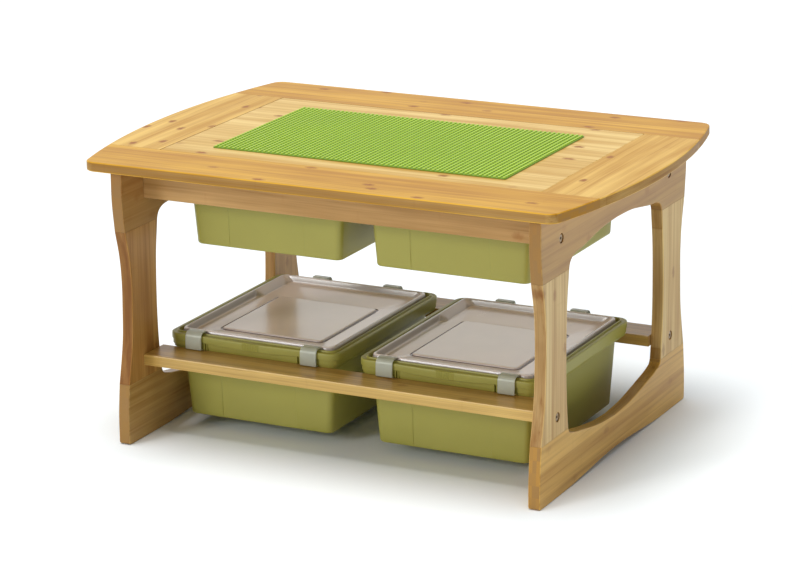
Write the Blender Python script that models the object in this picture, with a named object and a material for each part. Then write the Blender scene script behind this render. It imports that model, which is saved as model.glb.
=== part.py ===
"""Sensory play table: wooden frame, lift-out top panel with a stud plate, four plastic tubs.

Metres, +Z up, X along the table, front side towards -Y, floor at Z = 0.
"""
import math

import bmesh
import bpy
import numpy as np

# Overall
MM = 0.001
GAP = 0.3                      # clearance between neighbouring parts
TOP_HEIGHT = 470.0             # floor to table surface

# Table top
TOP_THICK = 16.0
TOP_HALF_DEPTH = 316.5
TOP_END_X = 443.2              # end edge on the centre line
TOP_BOW_RADIUS = 1213.0        # curve of the two end edges
TOP_CORNER = 21.0
TOP_ROUND = 2.4                # rounded outer edge
OPENING_HALF_X = 331.5
OPENING_HALF_Y = 202.5
PANEL_THICK = 11.7
PANEL_PLAY = 0.5               # gap around the lift-out panel

# Stud plate, lying on the panel
PLATE_HALF_X = 256.0
PLATE_HALF_Y = 152.0
PLATE_CENTRE = (-4.0, -6.6)
PLATE_BASE = 1.5
STUD_PITCH = 8.0
STUD_RADIUS = 2.45
STUD_HEIGHT = 1.8
STUD_STEP = 5                  # the solid carries every fifth stud along both sides

# End frames, half width across the table against height, in pairs
FRAME_THICK = 19.5
FRAME_OUTER_X = 370.0
FRAME_UPPER_JOINT = 351.0
FRAME_LOWER_JOINT = 99.0
FRAME_TOP = TOP_HEIGHT - TOP_THICK - GAP
FRAME_OUTSIDE = [(291.0, 447.0), (290.9, 400.0), (285.3, 351.0), (274.8, 306.0), (270.9, 262.0),
                 (271.7, 220.0), (273.9, 176.0), (280.0, 140.0), (289.2, 99.0), (294.4, 50.0),
                 (295.4, 6.0)]
FRAME_ARCH = [(0.0, 385.7), (37.0, 384.6), (62.0, 383.0), (83.0, 380.2), (113.0, 375.4),
              (137.0, 371.8), (158.0, 370.2), (169.0, 368.0), (177.0, 364.2), (182.5, 358.5),
              (185.5, 351.0)]
FRAME_INSIDE = [(185.5, 351.0), (187.0, 339.0), (192.3, 300.0), (194.7, 258.0), (195.5, 212.0),
                (195.0, 180.0), (193.4, 149.0), (190.0, 117.0), (187.4, 99.0)]
FRAME_BOTTOM = [(187.4, 99.0), (184.6, 93.4), (179.0, 89.4), (157.0, 83.2), (132.0, 78.8),
                (107.0, 74.0), (55.0, 66.0), (0.0, 62.5)]
FOOT_ARCH_HALF = 205.0
FOOT_ARCH_RISE = 9.0

# Boards between the end frames
BOARD_END_X = FRAME_OUTER_X - FRAME_THICK - GAP
APRON_INNER_Y = 207.0
APRON_OUTER_Y = 225.0
APRON_BOTTOM = 394.0
SHELF_INNER_Y = 181.0
SHELF_OUTER_Y = 242.5
SHELF_BOTTOM = 120.0
SHELF_TOP = 138.0
LEDGE_INNER_Y = 181.0
LEDGE_BOTTOM = 410.0
LEDGE_TOP = 428.0
CLEAT_INNER_X = 318.0
BAR_HALF_X = 5.5
SUPPORT_TOP = 458.0

# Fasteners
BOLT_HEAD_RADIUS = 7.0
BOLT_HEAD_THICK = 2.2
BOLT_SHANK_RADIUS = 3.0
BOLT_LENGTH = 60.0
BOLT_SINK = 0.4                # head face below the wood
NUT_RADIUS = 5.0
NUT_LENGTH = 13.0
NUT_FROM_END = 34.0
APRON_BOLT = (216.0, 406.0)
SHELF_BOLT = (229.0, 129.0)

# Tubs, half sizes along X and Y against local height
TUB_HEIGHT = 145.0
TUB_OUTER = [(129.4, 163.0, 0.0), (131.4, 165.0, 1.3), (132.4, 166.1, 4.6), (138.8, 172.0, 118.3),
             (139.3, 172.5, 128.0), (142.6, 175.6, 133.0), (143.2, 176.2, 142.0)]
TUB_BAND_BOTTOM = 118.3
TUB_SKIRT_BOTTOM = 122.8
TUB_RIM_X = 155.0
TUB_RIM_Y = 188.0
TUB_CORNER = 16.0
UPPER_TUB_X = (-161.5, 161.5)
UPPER_TUB_Z = 310.0
LOWER_TUB_X = (-183.0, 162.0)
LOWER_TUB_Z = 20.0

# Lids and latches, heights above the tub bottom
LID_SEAT = 137.0
LID_FLOOR = 136.0
LID_CREST = 148.0
PLATEAU_CENTRE = (-2.0, -19.0)
PLATEAU_HALF = (92.0, 99.0)
LATCH_WIDTH = 29.0
LATCH_FRONT_X = 105.0
LATCH_REAR_X = 67.5
LATCH_AXIS_Y = 174.6
LATCH_AXIS_Z = 147.0


def clearScene():
    for item in list(bpy.data.objects):
        bpy.data.objects.remove(item, do_unlink=True)
    for mesh in list(bpy.data.meshes):
        bpy.data.meshes.remove(mesh)


def plainMaterial(name, colour, roughness, metallic=0.0, alpha=1.0):
    material = bpy.data.materials.new(name)
    material.use_nodes = True
    shader = material.node_tree.nodes["Principled BSDF"]
    shader.inputs["Base Color"].default_value = (*colour, 1.0)
    shader.inputs["Roughness"].default_value = roughness
    shader.inputs["Metallic"].default_value = metallic
    shader.inputs["Alpha"].default_value = alpha
    material.diffuse_color = (*colour, alpha)
    return material


def woodMaterial(name, tone=1.0):
    return plainMaterial(name, (0.72 * tone, 0.43 * tone, 0.14 * tone), 0.38)


def tubMaterial(name):
    return plainMaterial(name, (0.30, 0.28, 0.06), 0.42)


def plateMaterial(name):
    return plainMaterial(name, (0.27, 0.60, 0.07), 0.35)


def lidMaterial(name):
    return plainMaterial(name, (0.62, 0.60, 0.58), 0.30, 0.0, 0.55)


def latchMaterial(name):
    return plainMaterial(name, (0.78, 0.78, 0.76), 0.28, 0.0, 0.75)


def steelMaterial(name):
    return plainMaterial(name, (0.58, 0.57, 0.55), 0.28, 1.0)


def addObject(name, mesh, material, smooth=False):
    mesh.materials.clear()
    mesh.materials.append(material)
    if smooth:
        for polygon in mesh.polygons:
            polygon.use_smooth = True
        mesh.set_sharp_from_angle(angle=math.radians(32.0))
    item = bpy.data.objects.new(name, mesh)
    bpy.context.scene.collection.objects.link(item)
    return item


def stackMesh(name, loops):
    """Closed body from equally long loops, the first and the last one filled."""
    count = len(loops[0])
    body = bmesh.new()
    rings = [[body.verts.new([value * MM for value in point]) for point in loop] for loop in loops]
    for lower, upper in zip(rings[:-1], rings[1:]):
        for index in range(count):
            after = (index + 1) % count
            body.faces.new((lower[index], lower[after], upper[after], upper[index]))
    body.faces.new(rings[0][::-1])
    body.faces.new(rings[-1])
    bmesh.ops.recalc_face_normals(body, faces=body.faces)
    mesh = bpy.data.meshes.new(name)
    body.to_mesh(mesh)
    body.free()
    return mesh


def smoothCurve(points, steps=2):
    """Catmull-Rom curve through the points."""
    knots = np.array(points, dtype=float)
    padded = np.vstack([2 * knots[0] - knots[1], knots, 2 * knots[-1] - knots[-2]])
    curve = []
    for index in range(1, len(padded) - 2):
        a, b, c, d = padded[index - 1:index + 3]
        for step in range(steps):
            t = step / steps
            curve.append(0.5 * (2 * b + (c - a) * t + (2 * a - 5 * b + 4 * c - d) * t ** 2
                                + (3 * b - a - 3 * c + d) * t ** 3))
    curve.append(knots[-1])
    return [tuple(point) for point in curve]


def insetOutline(outline, edges, amount):
    """Move every free edge of a counter-clockwise outline inwards by the amount."""
    moved = []
    count = len(outline)
    for index in range(count):
        here = np.array(outline[index])
        before = np.array(outline[index - 1])
        after = np.array(outline[(index + 1) % count])
        first = (here - before) / np.linalg.norm(here - before)
        second = (after - here) / np.linalg.norm(after - here)
        normals = np.array([[-first[1], first[0]], [-second[1], second[0]]])
        shifts = np.array([edges[index - 1], edges[index]]) * amount
        if abs(np.linalg.det(normals)) < 0.02:
            offset = normals.mean(axis=0) * shifts.mean()
        else:
            offset = np.linalg.solve(normals, shifts)
        moved.append(tuple(here + offset))
    return moved


def roundedBoard(name, outline, edges, low, high, radius, place, steps=2):
    """Board of the given outline with quarter-round free edges, placed by a function."""
    loops = []
    for step in range(steps + 1):
        angle = math.pi / 2 * step / steps
        loop = insetOutline(outline, edges, radius * (1.0 - math.sin(angle)))
        loops.append([place(a, b, low + radius * (1.0 - math.cos(angle))) for a, b in loop])
    for step in range(steps, -1, -1):
        angle = math.pi / 2 * step / steps
        loop = insetOutline(outline, edges, radius * (1.0 - math.sin(angle)))
        loops.append([place(a, b, high - radius * (1.0 - math.cos(angle))) for a, b in loop])
    return stackMesh(name, loops)


def roundRect(half_x, half_y, height, radius, centre=(0.0, 0.0), corner_steps=3):
    """Counter-clockwise rounded rectangle."""
    points = []
    for turn, (side_x, side_y) in enumerate(((1, 1), (-1, 1), (-1, -1), (1, -1))):
        for step in range(corner_steps + 1):
            angle = math.pi / 2 * (turn + step / corner_steps)
            points.append((centre[0] + side_x * (half_x - radius) + radius * math.cos(angle),
                           centre[1] + side_y * (half_y - radius) + radius * math.sin(angle),
                           height))
    return points


def cylinderMesh(name, start, axis, length, radius, sides=16):
    """Closed cylinder from the start point along one world axis (0, 1 or 2)."""
    others = [index for index in range(3) if index != axis]
    loops = []
    for along in (0.0, length):
        loop = []
        for side in range(sides):
            angle = 2 * math.pi * side / sides
            point = list(start)
            point[axis] += along
            point[others[0]] += radius * math.cos(angle)
            point[others[1]] += radius * math.sin(angle)
            loop.append(point)
        loops.append(loop)
    return stackMesh(name, loops)


def joinSolids(item, mesh):
    """Unite another mesh with the object's own solid."""
    other = bpy.data.objects.new(f"{item.name}_addition", mesh)
    bpy.context.scene.collection.objects.link(other)
    join = item.modifiers.new("join", "BOOLEAN")
    join.operation = "UNION"
    join.solver = "EXACT"
    join.object = other
    depsgraph = bpy.context.evaluated_depsgraph_get()
    result = bpy.data.meshes.new_from_object(item.evaluated_get(depsgraph))
    item.modifiers.clear()
    item.data = result
    bpy.data.objects.remove(other, do_unlink=True)


def cutBores(item, cutters):
    """Subtract the cutter meshes from an object one after another."""
    for number, mesh in enumerate(cutters):
        cutter = bpy.data.objects.new(f"{item.name}_cutter_{number}", mesh)
        bpy.context.scene.collection.objects.link(cutter)
        cutter.hide_render = True
        cutter.display_type = "WIRE"
        cut = item.modifiers.new(f"bore_{number}", "BOOLEAN")
        cut.operation = "DIFFERENCE"
        cut.solver = "EXACT"
        cut.object = cutter
    depsgraph = bpy.context.evaluated_depsgraph_get()
    result = bpy.data.meshes.new_from_object(item.evaluated_get(depsgraph))
    item.modifiers.clear()
    item.data = result
    for cutter in [other for other in bpy.data.objects if other.name.startswith(f"{item.name}_cutter_")]:
        bpy.data.objects.remove(cutter, do_unlink=True)


def frameBoard(name, outline, edges, side, tone):
    """Piece of an end frame, outline given across the table and upwards."""
    inner = FRAME_OUTER_X - FRAME_THICK

    def place(across, height, depth):
        return (side * (inner + depth), across, height)

    mesh = roundedBoard(name, outline, edges, 0.0, FRAME_THICK, 1.6, place, 1)
    return addObject(name, mesh, woodMaterial(f"{name}_wood", tone))


def headOutline():
    """Top piece of an end frame: straight top, curved shoulders, shallow arch."""
    bottom = FRAME_UPPER_JOINT + GAP / 2
    shoulder = [(y, max(z, bottom)) for y, z in smoothCurve(FRAME_OUTSIDE[:3])]
    arch = [(y, max(z, bottom)) for y, z in smoothCurve(FRAME_ARCH)]
    right = shoulder[::-1] + [(FRAME_OUTSIDE[0][0], FRAME_TOP)]
    left = [(-y, z) for y, z in right[::-1]]
    inner = [(-y, z) for y, z in arch[::-1]] + arch[1:]
    outline = right + left + inner
    edges = [1.0] * len(outline)
    edges[len(right) + len(left) - 1] = 0.0
    edges[len(outline) - 1] = 0.0
    return outline, edges


def legOutline(sign):
    """Leg between the two glue joints of an end frame."""
    low = FRAME_LOWER_JOINT + GAP / 2
    high = FRAME_UPPER_JOINT - GAP / 2
    outside = [(y, min(max(z, low), high)) for y, z in smoothCurve(FRAME_OUTSIDE[2:9])]
    inside = [(y, min(max(z, low), high)) for y, z in smoothCurve(FRAME_INSIDE)]
    outline = outside[::-1] + inside
    edges = [1.0] * len(outline)
    edges[len(outside) - 1] = 0.0
    edges[len(outline) - 1] = 0.0
    if sign < 0:
        outline = [(-y, z) for y, z in outline[::-1]]
        edges = edges[:-1][::-1] + [0.0]
    return outline, edges


def footOutline():
    """Bottom piece of an end frame with a shallow arch between its two pads."""
    top = FRAME_LOWER_JOINT - GAP / 2
    outside = [(y, min(z, top)) for y, z in smoothCurve(FRAME_OUTSIDE[8:])]
    inside = [(y, min(z, top)) for y, z in smoothCurve(FRAME_BOTTOM)]
    under = []
    for step in range(1, 16):
        y = -FOOT_ARCH_HALF + 2 * FOOT_ARCH_HALF * step / 16
        under.append((y, FOOT_ARCH_RISE * math.cos(math.pi * y / (2 * FOOT_ARCH_HALF)) ** 2))
    right = [(FOOT_ARCH_HALF, 0.0), (290.5, 0.0), (294.0, 1.6)] + outside[::-1] + inside
    left = [(-y, z) for y, z in right[::-1]][1:]
    outline = right + left + under
    edges = [1.0] * len(outline)
    first = 3 + len(outside) - 1
    edges[first] = 0.0
    edges[2 * len(right) - 2 - first - 1] = 0.0
    return outline, edges


def boltPositions(side):
    """Bolt centres of one end frame: apron bolts, then shelf rail bolts."""
    places = []
    for kind, (across, height) in (("apron", APRON_BOLT), ("shelf", SHELF_BOLT)):
        for sign in (-1, 1):
            places.append((kind, sign, sign * across, height))
    return places


def boltBores(name, side, across, height):
    """Counterbore, shank bore and run into the board behind for one bolt."""
    sink = BOLT_SINK + BOLT_HEAD_THICK + GAP
    if side > 0:
        counter = (FRAME_OUTER_X - sink, across, height)
        shank = (FRAME_OUTER_X - BOLT_LENGTH - 8.0, across, height)
    else:
        counter = (-FRAME_OUTER_X - 5.0, across, height)
        shank = (-FRAME_OUTER_X - 5.0, across, height)
    return [cylinderMesh(f"{name}_counter", counter, 0, sink + 5.0, BOLT_HEAD_RADIUS + 0.9, 24),
            cylinderMesh(f"{name}_shank", shank, 0, BOLT_LENGTH + 13.0, BOLT_SHANK_RADIUS + 0.4)]


def buildEndFrame(side, label):
    """Head, two legs and foot of one end frame with the bolt bores."""
    pieces = {
        "head": frameBoard(f"{label}_frame_head", *headOutline(), side, 0.98),
        "front_leg": frameBoard(f"{label}_front_leg", *legOutline(-1), side, 1.04),
        "rear_leg": frameBoard(f"{label}_rear_leg", *legOutline(1), side, 1.0),
        "foot": frameBoard(f"{label}_foot", *footOutline(), side, 0.94),
    }
    bores = {"head": [], "front_leg": [], "rear_leg": []}
    for kind, sign, across, height in boltPositions(side):
        target = "head" if kind == "apron" else ("front_leg" if sign < 0 else "rear_leg")
        bores[target] += boltBores(f"{label}_{kind}_{sign}", side, across, height)
    for target, cutters in bores.items():
        cutBores(pieces[target], cutters)
    return list(pieces.values())


def bowX(y):
    """Distance of the bowed end edge from the middle at a given Y."""
    return TOP_END_X - TOP_BOW_RADIUS + math.sqrt(TOP_BOW_RADIUS ** 2 - y ** 2)


def endCurve(low, high, steps):
    return [(bowX(low + (high - low) * step / steps), low + (high - low) * step / steps)
            for step in range(steps + 1)]


def topRailOutline():
    """Rear rail of the table top, counter-clockwise; the front one is its mirror."""
    reach = TOP_HALF_DEPTH - TOP_CORNER
    inner_radius = TOP_BOW_RADIUS - TOP_CORNER
    centre_x = TOP_END_X - TOP_BOW_RADIUS + math.sqrt(inner_radius ** 2 - reach ** 2)
    start = math.asin(reach / inner_radius)
    side = endCurve(OPENING_HALF_Y, TOP_BOW_RADIUS * math.sin(start), 4)
    corner = []
    for step in range(1, 8):
        angle = start + (math.pi / 2 - start) * step / 7
        corner.append((centre_x + TOP_CORNER * math.cos(angle), reach + TOP_CORNER * math.sin(angle)))
    right = side + corner
    outline = right + [(-x, y) for x, y in right[::-1]]
    edges = [1.0] * len(outline)
    edges[-1] = 0.0
    return outline, edges


def buildTopRail(label, sign, tone):
    """Full-length rail along the front or the rear of the table top."""
    outline, edges = topRailOutline()
    if sign < 0:
        outline = [(x, -y) for x, y in outline[::-1]]
        edges = edges[:-1][::-1] + [0.0]
    low = TOP_HEIGHT - TOP_THICK
    mesh = roundedBoard(f"top_{label}_rail", outline, edges, low, TOP_HEIGHT, TOP_ROUND,
                        lambda x, y, z: (x, y, z), 2)
    return addObject(f"top_{label}_rail", mesh, woodMaterial(f"top_{label}_rail_wood", tone))


def buildTopEnd(label, side, tone):
    """Cross board at one end of the table top with a bowed outer edge."""
    reach = OPENING_HALF_Y - GAP
    curve = endCurve(-reach, reach, 12)
    outline = [(OPENING_HALF_X, -reach)] + curve + [(OPENING_HALF_X, reach)]
    edges = [0.0] + [1.0] * 12 + [0.0, 0.0]
    if side < 0:
        outline = [(-x, y) for x, y in outline[::-1]]
        edges = [0.0] + [1.0] * 12 + [0.0, 0.0]
    low = TOP_HEIGHT - TOP_THICK
    mesh = roundedBoard(f"top_{label}_end", outline, edges, low, TOP_HEIGHT, TOP_ROUND,
                        lambda x, y, z: (x, y, z), 2)
    return addObject(f"top_{label}_end", mesh, woodMaterial(f"top_{label}_end_wood", tone))


def buildPanel():
    """Lift-out panel of the table top."""
    half_x = OPENING_HALF_X - PANEL_PLAY
    half_y = OPENING_HALF_Y - PANEL_PLAY
    low = TOP_HEIGHT - PANEL_THICK
    loops = [roundRect(half_x - 0.6, half_y - 0.6, low, 1.4),
             roundRect(half_x, half_y, low + 0.6, 2.0),
             roundRect(half_x, half_y, TOP_HEIGHT - 0.6, 2.0),
             roundRect(half_x - 0.6, half_y - 0.6, TOP_HEIGHT, 1.4)]
    return addObject("play_panel", stackMesh("play_panel", loops), woodMaterial("play_panel_wood", 1.02))


def studGrid():
    """Centres of the studs that the solid carries."""
    centres = []
    for column in range(1, int(2 * PLATE_HALF_X / STUD_PITCH), STUD_STEP):
        for row in range(1, int(2 * PLATE_HALF_Y / STUD_PITCH), STUD_STEP):
            centres.append((PLATE_CENTRE[0] - PLATE_HALF_X + STUD_PITCH * (column + 0.5),
                            PLATE_CENTRE[1] - PLATE_HALF_Y + STUD_PITCH * (row + 0.5)))
    return centres


def studCluster(name, foot, crown, sides=8):
    """All carried studs in one mesh, each a short upright prism."""
    body = bmesh.new()
    for x, y in studGrid():
        rings = []
        for height in (foot, crown):
            ring = []
            for side in range(sides):
                angle = 2 * math.pi * (side + 0.5) / sides
                ring.append(body.verts.new((MM * (x + STUD_RADIUS * math.cos(angle)),
                                            MM * (y + STUD_RADIUS * math.sin(angle)), MM * height)))
            rings.append(ring)
        for side in range(sides):
            after = (side + 1) % sides
            body.faces.new((rings[0][side], rings[0][after], rings[1][after], rings[1][side]))
        body.faces.new(rings[0][::-1])
        body.faces.new(rings[1])
    mesh = bpy.data.meshes.new(name)
    body.to_mesh(mesh)
    body.free()
    return mesh


def buildStudPlate():
    """Stud plate: flat sheet on the panel with its studs standing up from it."""
    base = TOP_HEIGHT + GAP
    sheet = base + PLATE_BASE
    loops = [roundRect(PLATE_HALF_X, PLATE_HALF_Y, base, 3.0, PLATE_CENTRE),
             roundRect(PLATE_HALF_X, PLATE_HALF_Y, sheet, 3.0, PLATE_CENTRE)]
    plate = addObject("stud_plate", stackMesh("stud_plate", loops), plateMaterial("stud_plate_green"))
    studs = studCluster("stud_plate_studs", sheet - 0.5, sheet + STUD_HEIGHT)
    joinSolids(plate, studs)
    return plate


def straightBoard(name, low, high, tone, radius=1.0, along=0):
    """Straight board with slightly rounded long edges, given by two corners."""
    others = [index for index in range(3) if index != along]
    a, b = others
    outline = [(low[a], low[b]), (high[a], low[b]), (high[a], high[b]), (low[a], high[b])]
    loops = []
    for reach in (low[along], high[along]):
        loop = []
        for turn, (x, y) in enumerate(outline):
            inward_x = 1 if turn in (0, 3) else -1
            inward_y = 1 if turn in (0, 1) else -1
            corner = [(x, y + inward_y * radius), (x + inward_x * radius * 0.293,
                       y + inward_y * radius * 0.293), (x + inward_x * radius, y)]
            if turn in (1, 3):
                corner = corner[::-1]
            for u, v in corner:
                point = [0.0, 0.0, 0.0]
                point[along] = reach
                point[a] = u
                point[b] = v
                loop.append(point)
        loops.append(loop)
    return addObject(name, stackMesh(name, loops), woodMaterial(f"{name}_wood", tone))


def nutBore(name, kind, sign, side):
    """Blind cross bore for one barrel nut."""
    centre_x = side * (BOARD_END_X - NUT_FROM_END)
    length = NUT_LENGTH + 0.6
    if kind == "apron":
        start = APRON_BOLT[0] - length / 2 if sign > 0 else -APRON_BOLT[0] - length / 2
        reach = APRON_BOLT[0] - length / 2 - APRON_INNER_Y + 2.0
        if sign > 0:
            start -= reach
        return cylinderMesh(name, (centre_x, start, APRON_BOLT[1]), 1, length + reach, NUT_RADIUS + GAP)
    start = SHELF_BOTTOM - 2.0
    top = SHELF_BOLT[1] + length / 2
    return cylinderMesh(name, (centre_x, sign * SHELF_BOLT[0], start), 2, top - start, NUT_RADIUS + GAP)


def buildCrossBoards():
    """Aprons and shelf rails with the bores for bolts and barrel nuts."""
    boards = []
    for label, sign in (("front", -1), ("rear", 1)):
        for kind, inner, outer, low, high in (
                ("apron", APRON_INNER_Y, APRON_OUTER_Y, APRON_BOTTOM, FRAME_TOP),
                ("shelf_rail", SHELF_INNER_Y, SHELF_OUTER_Y, SHELF_BOTTOM, SHELF_TOP)):
            near, far = sorted((sign * inner, sign * outer))
            board = straightBoard(f"{label}_{kind}", (-BOARD_END_X, near, low),
                                  (BOARD_END_X, far, high), 0.92 if kind == "apron" else 0.98, 1.5)
            across, height = APRON_BOLT if kind == "apron" else SHELF_BOLT
            cutters = []
            for side in (-1, 1):
                start = BOARD_END_X - (BOLT_LENGTH - FRAME_THICK + 8.0) if side > 0 else -BOARD_END_X - 5.0
                length = BOLT_LENGTH - FRAME_THICK + 13.0
                cutters.append(cylinderMesh(f"{label}_{kind}_run_{side}", (start, sign * across, height),
                                            0, length, BOLT_SHANK_RADIUS + 0.4))
                cutters.append(nutBore(f"{label}_{kind}_nut_{side}",
                                       "apron" if kind == "apron" else "shelf", sign, side))
            cutBores(board, cutters)
            boards.append(board)
    return boards


def buildSupports():
    """Hidden ledges for the upper tubs, cleats and bar under the lift-out panel."""
    boards = []
    for label, sign in (("front", -1), ("rear", 1)):
        near, far = sorted((sign * LEDGE_INNER_Y, sign * (APRON_INNER_Y - GAP)))
        boards.append(straightBoard(f"{label}_tub_ledge", (-BOARD_END_X, near, LEDGE_BOTTOM),
                                    (BOARD_END_X, far, LEDGE_TOP), 0.9))
    reach = OPENING_HALF_Y - PANEL_PLAY
    low = LEDGE_TOP + GAP
    boards.append(straightBoard("centre_bar", (-BAR_HALF_X, -reach, low),
                                (BAR_HALF_X, reach, SUPPORT_TOP), 0.9, 1.0, 1))
    shelf = TOP_HEIGHT - TOP_THICK - GAP
    step = OPENING_HALF_X - PANEL_PLAY
    for label, side in (("left", -1), ("right", 1)):
        section = [(CLEAT_INNER_X, low), (BOARD_END_X, low), (BOARD_END_X, shelf), (step, shelf),
                   (step, SUPPORT_TOP), (CLEAT_INNER_X, SUPPORT_TOP)]
        loops = [[(side * x, y, z) for x, z in section] for y in (-reach, reach)]
        mesh = stackMesh(f"{label}_panel_cleat", loops)
        boards.append(addObject(f"{label}_panel_cleat", mesh, woodMaterial(f"{label}_cleat_wood", 0.9)))
    return boards


def boltProfile():
    """Radius against depth from the head face, from the shank tip to the socket floor."""
    head = BOLT_HEAD_THICK
    return [(2.2, BOLT_LENGTH), (BOLT_SHANK_RADIUS, BOLT_LENGTH - 1.0), (BOLT_SHANK_RADIUS, head),
            (BOLT_HEAD_RADIUS - 0.3, head), (BOLT_HEAD_RADIUS, head - 0.4), (BOLT_HEAD_RADIUS, 0.5),
            (BOLT_HEAD_RADIUS - 0.6, 0.0), (4.4, 0.0)]


def buildBolt(name, side, across, height):
    """Connector bolt with a flat head and a hexagon socket."""
    sides = 12
    face = FRAME_OUTER_X - BOLT_SINK
    loops = []
    for radius, depth in boltProfile():
        loops.append([(side * (face - depth), across + radius * math.cos(2 * math.pi * k / sides),
                       height + radius * math.sin(2 * math.pi * k / sides)) for k in range(sides)])
    for depth in (0.0, 1.7):
        loop = []
        for k in range(sides):
            angle = 2 * math.pi * k / sides
            within = (angle % (math.pi / 3)) - math.pi / 6
            radius = 2.0 / math.cos(within)
            loop.append((side * (face - depth), across + radius * math.cos(angle),
                         height + radius * math.sin(angle)))
        loops.append(loop)
    return addObject(name, stackMesh(name, loops), steelMaterial(f"{name}_steel"), True)


def buildNut(name, kind, sign, side):
    """Barrel nut with the cross hole for the bolt."""
    centre_x = side * (BOARD_END_X - NUT_FROM_END)
    across, height = APRON_BOLT if kind == "apron" else SHELF_BOLT
    if kind == "apron":
        start = (centre_x, sign * across - NUT_LENGTH / 2, height)
        mesh = cylinderMesh(name, start, 1, NUT_LENGTH, NUT_RADIUS)
    else:
        start = (centre_x, sign * across, height - NUT_LENGTH / 2)
        mesh = cylinderMesh(name, start, 2, NUT_LENGTH, NUT_RADIUS)
    nut = addObject(name, mesh, steelMaterial(f"{name}_steel"))
    hole = cylinderMesh(f"{name}_hole", (centre_x - 10.0, sign * across, height), 0, 20.0,
                        BOLT_SHANK_RADIUS + GAP, 12)
    cutBores(nut, [hole])
    return nut


def buildFasteners():
    pieces = []
    for label, side in (("left", -1), ("right", 1)):
        for kind, sign, across, height in boltPositions(side):
            where = "front" if sign < 0 else "rear"
            pieces.append(buildBolt(f"{label}_{where}_{kind}_bolt", side, across, height))
            pieces.append(buildNut(f"{label}_{where}_{kind}_nut", kind, sign, side))
    return pieces


def tubLoops():
    """Loops of one tub from the underside over the folded rim to the inside floor."""
    loops = [roundRect(x, y, z, TUB_CORNER) for x, y, z in TUB_OUTER]
    rim_x = TUB_RIM_X
    rim_y = TUB_RIM_Y
    rim = [(rim_x - 5.6, rim_y - 5.6, 142.0, 15.0),
           (rim_x - 5.6, rim_y - 5.6, TUB_BAND_BOTTOM, 15.0),
           (rim_x - 3.2, rim_y - 3.2, TUB_BAND_BOTTOM, 17.0),
           (rim_x - 3.2, rim_y - 3.2, TUB_SKIRT_BOTTOM, 17.0),
           (rim_x - 0.8, rim_y - 0.8, TUB_SKIRT_BOTTOM, 19.0),
           (rim_x, rim_y, TUB_SKIRT_BOTTOM + 1.0, 20.0),
           (rim_x - 0.4, rim_y - 0.4, 140.0, 19.0),
           (rim_x - 1.8, rim_y - 1.8, 143.6, 18.0),
           (rim_x - 4.4, rim_y - 4.4, TUB_HEIGHT, 16.0),
           (rim_x - 9.6, rim_y - 9.2, TUB_HEIGHT, 15.0),
           (rim_x - 12.6, rim_y - 12.2, 143.8, 14.0),
           (rim_x - 14.0, rim_y - 13.6, 142.0, 13.5),
           (rim_x - 14.8, rim_y - 14.4, LID_SEAT, 13.0)]
    loops += [roundRect(x, y, z, radius) for x, y, z, radius in rim]
    inside = [(137.2, 170.4, LID_SEAT - 0.3), (136.8, 170.0, LID_SEAT - 2.0), (136.3, 169.3, 116.0),
              (130.4, 163.4, 9.0), (128.6, 161.6, 4.4), (124.4, 157.4, 2.6)]
    loops += [roundRect(x, y, z, 11.5) for x, y, z in inside]
    return loops


def buildTub(name, x, z):
    tub = addObject(name, stackMesh(name, tubLoops()), tubMaterial(f"{name}_plastic"), True)
    tub.location = (x * MM, 0.0, z * MM)
    return tub


def buildLid(name, x, z):
    """Lid plugged into the tub rim: bead, sunk floor, groove and raised middle."""
    flange = TUB_RIM_X - 15.7
    wide = 33.4
    seat = LID_SEAT + GAP
    section = [(131.6, LID_FLOOR - 2.2), (133.6, LID_FLOOR - 1.4), (135.0, LID_FLOOR + 1.0),
               (135.2, seat), (flange, seat), (flange, seat + 4.2), (flange - 1.2, LID_CREST - 2.0),
               (flange - 2.6, LID_CREST - 0.4), (flange - 4.0, LID_CREST), (flange - 5.6, LID_CREST - 0.6),
               (flange - 7.4, LID_FLOOR + 3.6), (flange - 8.8, LID_FLOOR + 0.8),
               (flange - 10.8, LID_FLOOR)]
    loops = [roundRect(half, half + wide, height, 12.0) for half, height in section]
    half_x, half_y = PLATEAU_HALF
    for grow, height in ((4.0, LID_FLOOR), (3.0, LID_FLOOR - 1.2), (1.2, LID_FLOOR - 1.2),
                         (0.0, LID_FLOOR + 1.2), (-1.6, LID_FLOOR + 1.8)):
        loops.append(roundRect(half_x + grow, half_y + grow, height, 8.0 + grow, PLATEAU_CENTRE))
    lid = addObject(name, stackMesh(name, loops), lidMaterial(f"{name}_plastic"), True)
    lid.location = (x * MM, 0.0, z * MM)
    return lid


def latchSection():
    """Section of a latch about its hinge axis: outwards and upwards, counter-clockwise."""
    knuckle = [(1.7 * math.cos(angle), 1.7 * math.sin(angle))
               for angle in np.radians([90.0, 126.0, 162.0, 198.0, 234.0, 270.0])]
    outside = [(8.0, 1.7), (11.0, 1.3), (14.2, -0.4), (16.4, -3.4), (17.4, -7.4), (17.9, -25.6),
               (17.5, -27.0), (16.2, -27.8)]
    inside = [(11.6, -27.8), (11.0, -27.4), (11.2, -26.6), (15.0, -25.6), (15.7, -24.8),
              (15.2, -7.4), (14.4, -4.4), (12.8, -2.0), (10.4, -0.9), (7.6, -0.6), (3.0, -0.9)]
    return knuckle + inside[::-1] + outside[::-1]


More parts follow.
